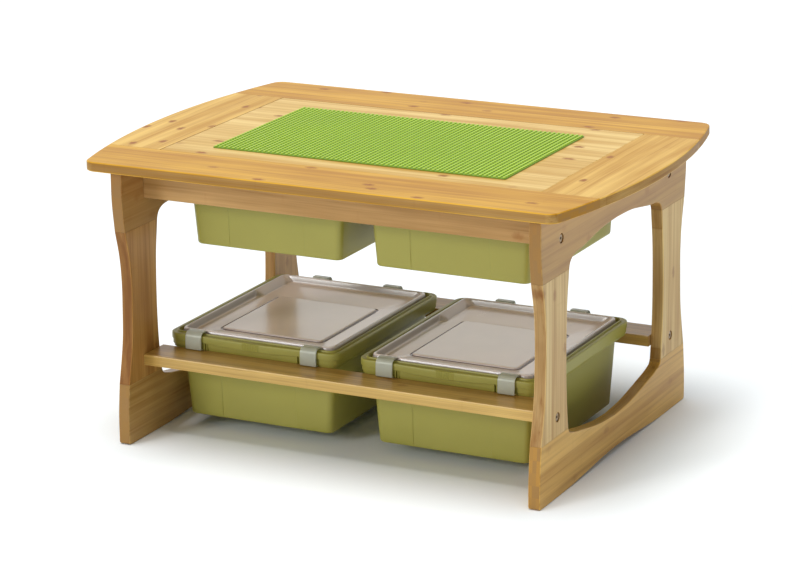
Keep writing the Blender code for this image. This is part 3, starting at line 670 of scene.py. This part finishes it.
topTones = {
    "end": {"pale": (0.860, 0.570, 0.160), "honey": (0.560, 0.290, 0.034)},
    "panel": {"pale": (0.880, 0.650, 0.260), "honey": (0.600, 0.350, 0.072)},
    "rail": {"pale": (0.760, 0.430, 0.058), "honey": (0.480, 0.215, 0.012), "tint": (0.660, 0.690, 1.700)},
}
topBoard = {"knots": 1.0, "shine": 0.06, "edge": 0.9, "thick": top["thickness"]}
low = top["surface"] - top["thickness"]
for label, sign, seed in (("front", -1, 3.0), ("rear", 1, 11.0)):
    start = (0, -top["halfDepth"] if sign < 0 else top["openingY"], low)
    topRail(label, sign, bambooMaterial(
        f"bamboo{label.title()}Rail", 0, start, seed, **topTones["rail"], **topBoard))
for label, side, seed in (("left", -1, 23.0), ("right", 1, 31.0)):
    start = (-top["endX"] if side < 0 else top["openingX"], 0, low)
    topEnd(label, side, bambooMaterial(
        f"bamboo{label.title()}End", 1, start, seed, across=0, **topTones["end"], **topBoard))
start = (0, -top["openingY"], top["surface"] - top["panelThickness"])
playPanel(bambooMaterial("bambooPanel", 0, start, 41.0, **topTones["panel"], knots=1.0, shine=0.06,
                         thick=top["panelThickness"]))
studPlate(platePlastic)
print("table top made")


# End frames

frames = {
    "outerX": 370.0,
    "thickness": 19.5,
    "upperJoint": 351.0,
    "lowerJoint": 99.0,
    "top": 453.7,
    "edgeRound": 1.6,
    "footArchHalf": 205.0,
    "footArchRise": 9.0,
    "glueGap": 0.15,           # half the hairline at a glued joint
    # half width across the table and height, in pairs
    "outside": [(291, 447), (290.9, 400), (285.3, 351), (274.8, 306), (270.9, 262), (271.7, 220),
                (273.9, 176), (280, 140), (289.2, 99), (294.4, 50), (295.4, 6)],
    "arch": [(0, 385.7), (37, 384.6), (62, 383), (83, 380.2), (113, 375.4), (137, 371.8), (158, 370.2),
             (169, 368), (177, 364.2), (182.5, 358.5), (185.5, 351)],
    "inside": [(185.5, 351), (187, 339), (192.3, 300), (194.7, 258), (195.5, 212), (195, 180), (193.4, 149),
               (190, 117), (187.4, 99)],
    "bottom": [(187.4, 99), (184.6, 93.4), (179, 89.4), (157, 83.2), (132, 78.8), (107, 74), (55, 66),
               (0, 62.5)],
}
mirror = np.array([-1.0, 1.0])


def clippedCurve(points, low, high):
    curve = smoothCurve(points)
    curve[:, 1] = np.clip(curve[:, 1], low, high)
    return curve


def headOutline():
    # shoulder, top, the same mirrored, and back along the arch; 0 in free marks the glued edges
    low = frames["upperJoint"] + frames["glueGap"]
    shoulder = clippedCurve(frames["outside"][:3], low, math.inf)
    arch = clippedCurve(frames["arch"], low, math.inf)
    right = np.vstack([shoulder[::-1], [frames["outside"][0][0], frames["top"]]])
    outline = np.vstack([right, right[::-1] * mirror, arch[::-1] * mirror, arch[1:]])
    free = np.ones(len(outline))
    free[[2 * len(right) - 1, -1]] = 0.0
    return outline, free


def legOutline(sign):
    # outer curve upwards, inner curve downwards, between the two glued joints
    low = frames["lowerJoint"] + frames["glueGap"]
    high = frames["upperJoint"] - frames["glueGap"]
    outside = clippedCurve(frames["outside"][2:9], low, high)
    inside = clippedCurve(frames["inside"], low, high)
    outline = np.vstack([outside[::-1], inside])
    free = np.ones(len(outline))
    free[[len(outside) - 1, -1]] = 0.0
    if sign < 0:
        outline = outline[::-1] * mirror
        free = np.append(free[:-1][::-1], 0.0)
    return outline, free


def footOutline():
    # heel, outer curve, inner curve, the same mirrored; below it a cosine squared arch
    high = frames["lowerJoint"] - frames["glueGap"]
    outside = clippedCurve(frames["outside"][8:], -math.inf, high)
    inside = clippedCurve(frames["bottom"], -math.inf, high)
    half = frames["footArchHalf"]
    y = np.linspace(-half, half, 42)[1:-1]
    under = np.stack([y, frames["footArchRise"] * np.cos(math.pi * y / (2 * half)) ** 2], axis=1)
    right = np.vstack([[half, 0.0], [290.0, 0.0], [293.0, 0.9], [294.9, 2.8], outside[::-1], inside])
    outline = np.vstack([right, (right[::-1] * mirror)[1:], under])
    free = np.ones(len(outline))
    joint = 4 + len(outside) - 1
    free[[joint, 2 * len(right) - 3 - joint]] = 0.0
    return outline, free


def frameBoard(name, outline, free, side, material, node):
    inner = frames["outerX"] - frames["thickness"]
    piece = boardSolid(name, outline, free, 0.0, frames["thickness"], frames["edgeRound"],
                       lambda a, b, c: (side * (inner + c), a, b), material)
    return dress(piece, "table", node)


fasteners = {
    "apron": (216.0, 406.0),
    "shelf": (229.0, 129.0),
    "headRadius": 6.4,
    "sink": 1.0,
    "headThickness": 2.2,
    "shankRadius": 3.0,
    "length": 60.0,
    "socket": 2.0,
    "counterPlay": 1.5,        # room round the head and the shank, and below the head
    "shankPlay": 0.4,
    "sinkPlay": 0.3,
    "shankDepth": 30.0,
}


def boreCutter(name, side, across, height, radius, depth):
    # plain cylinder along X, from outside the frame to this depth in it
    profile = [(radius, frames["outerX"] + 5), (radius, frames["outerX"] - depth)]
    return turnedPart(name, profile, side, across, height, zinc)


def hexSocket(radius, angle):
    # the last two rings follow a hexagon: apothem / cos of the angle to the nearest flat
    within = np.mod(angle, math.pi / 3) - math.pi / 6
    shaped = radius.copy()
    shaped[-2:] = fasteners["socket"] / np.cos(within)
    return shaped


def connectorBolt(name, side, across, height):
    # profile of radius and depth below the face: tip, shank, head with eased edges, socket
    face = frames["outerX"] - fasteners["sink"]
    head, tip = fasteners["headThickness"], fasteners["length"]
    r, s = fasteners["headRadius"], fasteners["shankRadius"]
    depth = np.array([[s - 0.8, tip], [s, tip - 1.0], [s, head], [r - 0.3, head], [r, head - 0.3], [r, 0.7],
                      [r - 0.25, 0.25], [r - 0.8, 0.0], [3.1, 0.0], [2.9, 0.08], [2.3, 0.3], [2.3, 2.0]])
    profile = np.stack([depth[:, 0], face - depth[:, 1]], axis=1)
    piece = turnedPart(f"{name}_head", profile, side, across, height, zinc, hexSocket)
    dress(piece, "table", name)


# the left frame's head, front leg and foot are darker and more orange than the right ones: painted shade for
# the shade on their inner faces
frameTonesAndShade = {                 # pale and honey tone of each board
    "left_head": ((0.500, 0.290, 0.095), (0.370, 0.180, 0.045)),
    "left_front_leg": ((0.660, 0.370, 0.105), (0.380, 0.170, 0.036)),
    "left_rear_leg": ((0.840, 0.540, 0.200), (0.520, 0.280, 0.075)),
    "left_foot": ((0.600, 0.380, 0.130), (0.360, 0.190, 0.045)),
    "right_head": ((0.600, 0.350, 0.105), (0.400, 0.200, 0.046)),
    "right_front_leg": ((0.900, 0.660, 0.290), (0.580, 0.330, 0.100)),
    "right_rear_leg": ((0.900, 0.660, 0.270), (0.580, 0.320, 0.080)),
    "right_foot": ((0.860, 0.520, 0.130), (0.560, 0.280, 0.044)),
}
frameBoards = {
    # outline, grain axis, where its strips are counted from in Y and Z, knots, how brown its narrow sides are
    "head": (headOutline(), 1, (0, frames["upperJoint"]), 0.35, 0.5),
    "front_leg": (legOutline(-1), 2, (-290, 0), 0.5, 0.9),
    "rear_leg": (legOutline(1), 2, (190, 0), 0.5, 0.8),
    "foot": (footOutline(), 1, (0, 0), 0.35, 0.5),
}


def camel(words):
    return words.title().replace("_", "")


def boreFrame(pieces, label, side):
    # counterbore and shank hole for each bolt, then the bolt
    sink = fasteners["sink"] + fasteners["headThickness"] + fasteners["sinkPlay"]
    for kind in ("apron", "shelf"):
        reach, height = fasteners[kind]
        for sign, where in ((-1, "front"), (1, "rear")):
            place = (side, sign * reach, height)
            cutWith(pieces["head" if kind == "apron" else f"{where}_leg"], [
                boreCutter("counterCut", *place, fasteners["headRadius"] + fasteners["counterPlay"], sink),
                boreCutter("shankCut", *place, fasteners["shankRadius"] + fasteners["shankPlay"],
                           fasteners["shankDepth"])])
            connectorBolt(f"{label}_{where}_{kind}_bolt", *place)


for side, label, seed in ((-1, "left", 50.0), (1, "right", 80.0)):
    innerX = side * (frames["outerX"] - frames["thickness"])
    pieces = {}
    for number, (board, (shape, grain, start, knots, edge)) in enumerate(frameBoards.items()):
        name = f"{label}_{board}"
        wood = bambooMaterial(f"bamboo{camel(name)}", grain, (innerX, *start), seed + 3 * number,
                              *frameTonesAndShade[name], knots, thick=frames["thickness"], edge=edge)
        node = f"{label}_frame_head" if board == "head" else name
        pieces[board] = frameBoard(f"{name}_board", *shape, side, wood, node)
    boreFrame(pieces, label, side)
print("end frames made")


# Straight boards of the frame keep their solids

def finishNode(node, material):
    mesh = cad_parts[node].data
    mesh.materials.clear()
    mesh.materials.append(material)


apronWood = {"pale": (0.660, 0.400, 0.160), "honey": (0.430, 0.240, 0.078), "knots": 0.8, "layers": 0.3,
             "across": 2, "edge": 0.0}
shelfWood = {"pale": (0.740, 0.480, 0.135), "honey": (0.450, 0.255, 0.045), "knots": 0.5,
             "edge": 0.0, "shine": 0.5}
for label, apronY, railY, seed in (("front", -225, -243, 120.0), ("rear", 207, 181, 140.0)):
    for node, kind, start, shift, wood in (
            ("apron", "Apron", (0, apronY, 394), 0, apronWood),
            ("shelf_rail", "Shelf", (0, railY, 120), 4, shelfWood),
            ("tub_ledge", "Ledge", (0, railY, 410), 7, {})):
        board = bambooMaterial(f"bamboo{label.title()}{kind}", 0, start, seed + shift, **wood)
        finishNode(f"{label}_{node}", board)
for node in ("left_panel_cleat", "right_panel_cleat", "centre_bar"):
    finishNode(node, bambooMaterial(f"bamboo_{node}", 1, (0, 0, 430), 160.0 + len(node), across=0))
for bolt in (f"{side}_{where}_{kind}" for side in ("left", "right") for where in ("front", "rear")
             for kind in ("apron", "shelf")):
    finishNode(f"{bolt}_nut", zinc)
print("straight boards finished")


# Tubs

tub = {
    "corner": 8,               # steps in each corner
    "notch": 7.5,              # skirt cut away behind the latches
    "bow": 2.4,                # front lip swells towards its middle
    "lipSag": 2.6,             # and its lower edge sags there
    "lipHalf": 84.0,
    "lipLow": 131.4,           # the lip is above this height, the skirt below it
    "skirtBack": 0.6,
    "panelStep": 1.3,          # middle of the long walls is sunk
    "panelHalf": 68.0,
    "frontLatch": 105.0,
    "rearLatch": 67.5,
    "latchHalf": 16.5,
    "slotEnd": 23.0,           # far end of the open slot, from the latch's middle
    "slotRise": 10.4,
    "ribHalf": 15.0,
    "ribPitch": 3.0,
    "ribDepth": 1.10,
}


def smooth01(value, low, high):
    # 3 t^2 - 2 t^3
    t = np.clip((value - low) / (high - low), 0.0, 1.0)
    return t * t * (3 - 2 * t)


def sideStations():
    # where the long sides are sampled: even steps, finer in the ribs, a pair of points at each feature's edge
    coarse = np.arange(-117, 118, 6.0)
    ribs = np.arange(-16.5, 17.0, 0.5)
    edges = [side * (start + gap) for side in (-1, 1) for start in (50.6, 66.8, 68.4, 81.6, 83.2, 88.2, 121.0)
             for gap in (0.0, 0.8)]
    return np.unique(np.round(np.concatenate([coarse, ribs, edges]), 3))


def tubProfile():
    # half length X, half length Y, height, corner radius; the number of the part is added at the end
    wall = [(123, 156.6, 0.0, 8), (127.6, 161.4, 0.1, 9), (129.6, 163.4, 0.7, 10.2),
            (130.8, 164.8, 1.9, 11), (131.5, 165.7, 4.4, 11.5), (131.8, 166.0, 11.0, 11.5),
            (134.9, 168.8, 62.0, 11.5), (138.0, 171.7, 116.0, 11.5), (138.8, 172.2, 125.0, 12.5),
            (139.9, 172.9, 129.0, 13), (142.2, 175.2, 133.0, 14), (143.0, 176.0, 135.4, 14),
            (144.0, 177.0, 136.0, 14)]
    band = [(148.8, 181.8, 136.0, 15), (149.4, 182.4, 135.4, 15), (149.4, 182.4, 119.0, 15),
            (149.9, 182.9, 118.3, 15.5), (151.3, 184.3, 118.3, 16.5), (151.8, 184.8, 118.9, 17),
            (151.8, 184.8, 122.2, 17)]
    skirt = [(152.3, 185.4, 122.8, 17.5), (153.0, 186.0, 122.8, 18.2), (153.6, 186.6, 123.4, 18.8),
             (153.6, 186.6, 131.2, 18.8), (154.3, 187.3, 131.5, 19.4), (155.0, 188.0, 132.0, 20),
             (155.0, 188.0, 137.0, 20), (155.0, 188.0, 140.2, 20)]
    crest = [(154.7, 187.7, 141.4, 19.7), (153.9, 186.9, 142.2, 18.9), (152.8, 185.8, 142.5, 18),
             (149.6, 182.6, 142.4, 15.6), (147.5, 180.5, 141.9, 14.6), (147.0, 180.0, 142.2, 14.4),
             (146.7, 179.7, 144.0, 14.2), (146.2, 179.2, 144.7, 14), (145.4, 178.4, 144.9, 13.6),
             (144.6, 177.6, 144.7, 13.2), (144.1, 177.1, 144.0, 13), (143.8, 176.8, 139.4, 13),
             (143.2, 176.2, 138.6, 12.8), (142.0, 175.2, 138.4, 12.6), (140.8, 174.2, 137.6, 12.4),
             (139.8, 173.2, 137.0, 12.2)]
    inside = [(137.6, 170.8, 137.0, 12), (137.0, 170.2, 136.4, 11.6), (136.6, 169.7, 132.0, 11.5),
              (136.3, 169.3, 116.0, 11.5), (133.4, 166.4, 62.0, 11.5), (130.6, 163.6, 10.0, 11.5),
              (129.8, 162.8, 6.0, 11.5), (128.0, 161.0, 3.8, 11), (125.0, 158.0, 2.8, 10),
              (120.0, 153.0, 2.6, 9)]
    parts = (wall, band, skirt, crest, inside)
    return np.array([(*row, number) for number, rows in enumerate(parts) for row in rows])


def profileRings(profile, stations, sideY):
    # one rounded rectangle for each profile row, with that row's height and part at each of its points
    rings = np.stack([roundRing(hx, hy, r, tub["corner"], sidesX=stations, sideY=sideY)
                      for hx, hy, z, r, part in profile])
    height, part = (np.repeat(profile[:, k:k + 1], rings.shape[1], axis=1) for k in (2, 4))
    return rings[..., 0], rings[..., 1], height, part


def tubShell(node, x0, z0):
    # rounded rectangle rings through the profile, then moved by features that depend on X on the long sides
    profile = tubProfile()
    x, y, height, part = profileRings(profile, sideStations(), 14)
    wall, band, skirt, crest, inside = (part == number for number in range(5))
    long = np.abs(y) > profile[:, 1][:, None] - 0.5
    front = long & (y < 0)
    outward = np.sign(y)

    # middle of the long walls sunk by one step, outside and inside alike
    sunk = tub["panelStep"] * (1 - smooth01(np.abs(x), tub["panelHalf"] - 0.5, tub["panelHalf"] + 0.5))
    lift = smooth01(height, 2.0, 7.0) * (1 - smooth01(height, 108.0, 118.0))
    y -= (long & (wall | inside)) * outward * sunk * lift

    # front lip swells in a shallow arc between the latches, the skirt below it stays back
    arc = np.clip(1 - (x / tub["lipHalf"]) ** 2, 0.0, 1.0)
    lip = (skirt & (height > tub["lipLow"])) | (crest & (np.abs(y) > 184.0))
    y += (front & lip) * outward * tub["bow"] * arc
    under = skirt & (height < tub["lipLow"])
    between = 1 - smooth01(np.abs(x), tub["lipHalf"], tub["lipHalf"] + 2.0)
    y -= (front & under) * outward * tub["skirtBack"] * between
    height -= (front & skirt & (np.abs(height - 131.7) < 1.0)) * tub["lipSag"] * arc

    # skirt notched behind every latch
    offset = np.abs(x) - np.where(y < 0, tub["frontLatch"], tub["rearLatch"])
    half = np.where((y < 0) & (offset < 0), tub["slotEnd"], tub["latchHalf"])
    notch = 1 - smooth01(np.abs(offset), half - 0.5, half + 0.3)
    bandEdge = band & (np.abs(height - 122.2) < 0.2)
    height += (long & ((skirt & (height < 130)) | bandEdge)) * notch * tub["notch"]
    # open slot through the inner band on the middle side of each front latch
    slot = notch * smooth01(-offset, tub["latchHalf"] - 0.5, tub["latchHalf"] + 0.3)
    height += (front & band & (height < 121.0)) * slot * tub["slotRise"]
    # upright grip ribs in the middle of the front band
    rib = 0.5 + 0.5 * np.cos(2 * math.pi * x / tub["ribPitch"])
    window = 1 - smooth01(np.abs(x), tub["ribHalf"] - 0.6, tub["ribHalf"] + 0.6)
    level = smooth01(height, 131.0, 133.0) * (1 - smooth01(height, 141.6, 142.9))
    y += (front & (skirt | crest)) * outward * tub["ribDepth"] * rib * window * level

    grid = np.stack([x, y, height], axis=-1)
    finPoints, finFaces = tubFins(height.size)
    points = np.vstack([grid.reshape(-1, 3), finPoints]) + [x0, 0.0, z0]
    piece = meshFromArrays(f"{node}_shell", points, closedStack(grid) + finFaces, tubPlastic, 40.0)
    faceOutwards(piece)
    dress(piece, node, node)


def tubFins(start):
    # thin upright plates under the rim beside every latch: one six-sided section between two values of X
    section = np.array([[173.0, 118.6], [186.0, 118.6], [187.0, 119.4], [187.4, 121.0], [187.4, 133.0],
                        [173.0, 133.0]])
    half = 0.9
    points, faces = [], []
    places = ((-1, tub["frontLatch"], (-22.6, -17.8)), (1, tub["rearLatch"], (-18.0, 18.0)))
    for sign, latchX, offsets in places:
        for x in (side * (latchX + offset) for side in (-1, 1) for offset in offsets):
            grid = np.stack([np.column_stack([np.full(len(section), x + s * half), section * [sign, 1]])
                             for s in (sign, -sign)])
            points.append(grid.reshape(-1, 3))
            faces += closedStack(grid, start)
            start += len(points[-1])
    return np.vstack(points), faces


tubPlaces = {
    "upper_left_tub": (-161.5, 310.0),
    "upper_right_tub": (161.5, 310.0),
    "lower_left_tub": (-183.0, 20.0),
    "lower_right_tub": (162.0, 20.0),
}
for node, (x0, z0) in tubPlaces.items():
    tubShell(node, x0, z0)
print("tubs made")


# Lids

lid = {
    "flangeX": 139.3,
    "flangeY": 172.7,
    "crest": 148.0,
    "floor": 136.0,
    "seat": 137.3,
    "plateauHalf": (92.0, 99.0),
    "plateauCentre": (-2.0, -19.0),
    "plateauRadius": 7.0,
    "plateauRise": 1.9,
    "stepInward": 9.0,         # side walls step in over the rear part
    "stepY": 68.0,
}


def lidProfile():
    # half length X, half length Y, height, corner radius, part: 0 plug, 1 bead, 2 down to the floor
    f, g, crest, floor, seat = lid["flangeX"], lid["flangeY"], lid["crest"], lid["floor"], lid["seat"]
    plug = [(126.0, 159.0, floor - 2.2, 10, 0), (131.0, 164.6, floor - 2.2, 11.5, 0),
            (133.0, 166.6, floor - 1.7, 12, 0), (134.2, 167.8, floor - 0.6, 12, 0),
            (134.8, 168.4, seat - 0.4, 12, 0), (135.4, 169.0, seat, 12, 0)]
    # inset from the flange, height, corner radius, part
    bead = [(0.5, seat, 12.4, 1), (0.0, seat + 0.5, 13, 1), (0.0, seat + 3.6, 13, 1),
            (0.4, seat + 5.4, 12.6, 1), (1.2, crest - 1.9, 12, 1), (2.0, crest - 0.8, 11.4, 1),
            (3.0, crest - 0.15, 10.6, 1), (3.9, crest, 10, 1), (4.8, crest - 0.2, 9.4, 1),
            (5.5, crest - 0.8, 9, 1), (6.1, crest - 2.2, 9, 2), (7.6, floor + 3.2, 9, 2),
            (8.2, floor + 1.4, 9, 2), (9.4, floor + 0.3, 9, 2), (11.2, floor, 9, 2)]
    rows = plug + [(f - inset, g - inset, *rest) for inset, *rest in bead]
    return np.array(rows, dtype=float)


def lidTray(node, x0, z0):
    # flange and bead rings, then the groove and the raised middle as rings about their own centre
    profile = lidProfile()
    x, y, height, part = profileRings(profile, np.linspace(-118, 118, 41), 70)
    inwards = lid["stepInward"] * smooth01(y, lid["stepY"] - 4, lid["stepY"] + 4)
    depth = smooth01(-height, -(lid["crest"] - 1.5), -(lid["floor"] + 3.4))
    x *= np.where(part == 2, 1.0 - inwards * depth / profile[:, 0][:, None], 1.0)
    outer = np.stack([x, y, height], axis=-1)
    hx, hy = lid["plateauHalf"]
    rise = lid["plateauRise"]
    # how far each ring stands outside the raised middle, and its height over the floor
    rows = np.array([(5.4, 0.0), (4.6, -0.25), (4.0, -0.9), (3.2, -1.2), (1.6, -1.2), (0.8, -0.9), (0.2, 0.2),
                     (-0.4, rise - 0.5), (-1.4, rise), (-3.0, rise)])
    inner = [roundRing(hx + grow, hy + grow, lid["plateauRadius"] + grow, tub["corner"], lid["plateauCentre"],
                       np.linspace(-80, 80, 41), 70) for grow in rows[:, 0]]
    inner = stackRings(inner, lid["floor"] + rows[:, 1])
    piece = stackPiece(f"{node}_tray", np.concatenate([outer, inner]) + [x0, 0.0, z0], lidPlastic, 40.0)
    dress(piece, node, node)


for side in ("left", "right"):
    x0, z0 = tubPlaces[f"lower_{side}_tub"]
    lidTray(f"{side}_lid", x0, z0)
print("lids made")


# Latches

latch = {
    "width": 29.0,
    "axisY": 174.6,
    "axisZ": 147.0,
    "knuckleRadius": 1.7,
    "round": 0.7,
}


def latchSection():
    # closed section about the hinge, Y outwards and Z: knuckle arc, inner side to the hook, outer side back
    angle = np.radians(np.arange(80.0, 281.0, 20.0))
    knuckle = latch["knuckleRadius"] * np.stack([np.cos(angle), np.sin(angle)], axis=1)
    outside = np.array([(17.5, -27.0), (17.85, -25.8), (17.8, -18.0), (17.4, -7.4), (17.1, -5.6),
                        (16.2, -3.6), (14.8, -1.6), (13.0, 0.0), (11.2, 1.1), (9.4, 1.6), (5.0, 1.7)])
    inside = np.array([(3.0, -0.9), (7.6, -0.6), (10.2, -0.9), (11.8, -1.6), (13.2, -2.9), (14.4, -4.6),
                       (15.0, -6.4), (15.2, -9.0), (15.7, -24.2), (15.2, -25.3), (13.4, -26.0), (11.3, -26.3),
                       (11.0, -26.9), (11.3, -27.6), (12.4, -27.8), (16.2, -27.8)])
    return np.vstack([knuckle, inside, outside])


def latchClip(node, centreX, sign, z0):
    # the section carried along X through the edge profile, its ends left without their inset rings
    section = latchSection()
    direction = insetDirections(section, np.ones(len(section)))
    profile = edgeProfile(-latch["width"] / 2, latch["width"] / 2, latch["round"], 3)
    flat = section[None] + direction[None] * np.minimum(profile[:, 0], latch["round"])[:, None, None]
    along = np.broadcast_to(profile[:, 1][:, None], flat.shape[:2]) + centreX
    y = sign * (flat[..., 0] + latch["axisY"])
    grid = np.stack([along, y, flat[..., 1] + latch["axisZ"] + z0], axis=-1)[1:-1]
    piece = stackPiece(f"{node}_clip", grid, latchPlastic, 40.0)
    dress(piece, node, node)


for side in ("left", "right"):
    x0, z0 = tubPlaces[f"lower_{side}_tub"]
    for where, sign, offset in (("front", -1, tub["frontLatch"]), ("rear", 1, tub["rearLatch"])):
        for number, shift in (("a", -offset), ("b", offset)):
            latchClip(f"{side}_{where}_latch_{number}", x0 + shift, sign, z0)
print("latches made")


# Floor, light and camera

studio = {
    "floorColour": (0.91, 0.95, 0.98),
    "worldColour": (0.84, 0.93, 1.0),
    "worldStrength": 0.35,
    # compass direction that the light comes from (0 rear, 90 right, 180 front), height above the floor,
    # strength and width
    "key": (215.0, 85.0, 2.66, 30.0),
    "fill": (208.0, 22.0, 0.85, 16.0),
}


def studioFloor():
    size = 30000.0
    corners = [(x * size, y * size, -0.2) for x, y in ((-1, -1), (1, -1), (1, 1), (-1, 1))]
    material, tree, shader = newMaterial("paleFloor")
    feedAll(tree, shader, {"Base Color": studio["floorColour"], "Roughness": 0.9, "Specular IOR Level": 0.1})
    floor = meshFromArrays("studio_floor", corners, [[0, 1, 2, 3]], material)


def softSun(name, compass, height, strength, width, colour=(1.0, 1.0, 1.0)):
    # wide sun: its direction from compass angle and height, both in degrees
    data = bpy.data.lights.new(name, "SUN")
    data.energy = strength
    data.angle = math.radians(width)
    data.color = colour
    lamp = bpy.data.objects.new(name, data)
    bpy.context.scene.collection.objects.link(lamp)
    a, h = math.radians(compass), math.radians(height)
    towards = Vector((math.sin(a) * math.cos(h), math.cos(a) * math.cos(h), math.sin(h)))
    lamp.location = towards * 3.0
    lamp.rotation_mode = "QUATERNION"
    lamp.rotation_quaternion = (-towards).to_track_quat("-Z", "Y")


def studioWorld():
    # white behind the table, an even soft light on it
    world = bpy.data.worlds.new("studioWorld")
    world.use_nodes = True
    tree = world.node_tree
    path = addNode(tree, "ShaderNodeLightPath").outputs
    bright = mathNode(tree, "MAXIMUM", path["Is Camera Ray"], path["Is Glossy Ray"])
    colour = mixColour(tree, bright, studio["worldColour"], (1.0, 1.0, 1.0))
    strength = mathNode(tree, "MULTIPLY_ADD", bright, 1.0 - studio["worldStrength"], studio["worldStrength"])
    feedAll(tree, tree.nodes["Background"], {"Color": colour, "Strength": strength})
    arrange(tree)
    bpy.context.scene.world = world


camera = {
    "lens": 137.17,
    "sensor": 36.0,
    "position": (2.1091, -4.1883, 1.6040),     # metres
    "yaw": -26.913,            # this and the next two in degrees
    "pitch": 16.273,
    "roll": -0.776,
}


def photoCamera():
    # forward from yaw and pitch, right level, up their cross product; then roll turns right and up
    data = bpy.data.cameras.new("photoCamera")
    data.lens = camera["lens"]
    data.sensor_width = camera["sensor"]
    data.clip_end = 100.0
    viewer = bpy.data.objects.new("photoCamera", data)
    bpy.context.scene.collection.objects.link(viewer)
    yaw, pitch, roll = (math.radians(camera[key]) for key in ("yaw", "pitch", "roll"))
    forward = np.array([math.sin(yaw) * math.cos(pitch), math.cos(yaw) * math.cos(pitch), -math.sin(pitch)])
    right = np.array([math.cos(yaw), -math.sin(yaw), 0.0])
    up = np.cross(right, forward)
    rolledRight = right * math.cos(roll) + up * math.sin(roll)
    rolledUp = -right * math.sin(roll) + up * math.cos(roll)
    turn = Matrix([rolledRight.tolist(), rolledUp.tolist(), (-forward).tolist()]).transposed()
    viewer.matrix_world = Matrix.Translation(camera["position"]) @ turn.to_4x4()
    bpy.context.scene.camera = viewer


studioFloor()
studioWorld()
softSun("keyLight", *studio["key"], colour=(1.0, 0.98, 0.95))
softSun("fillLight", *studio["fill"])
photoCamera()
bpy.context.scene.view_settings.view_transform = "Standard"
print("studio made")
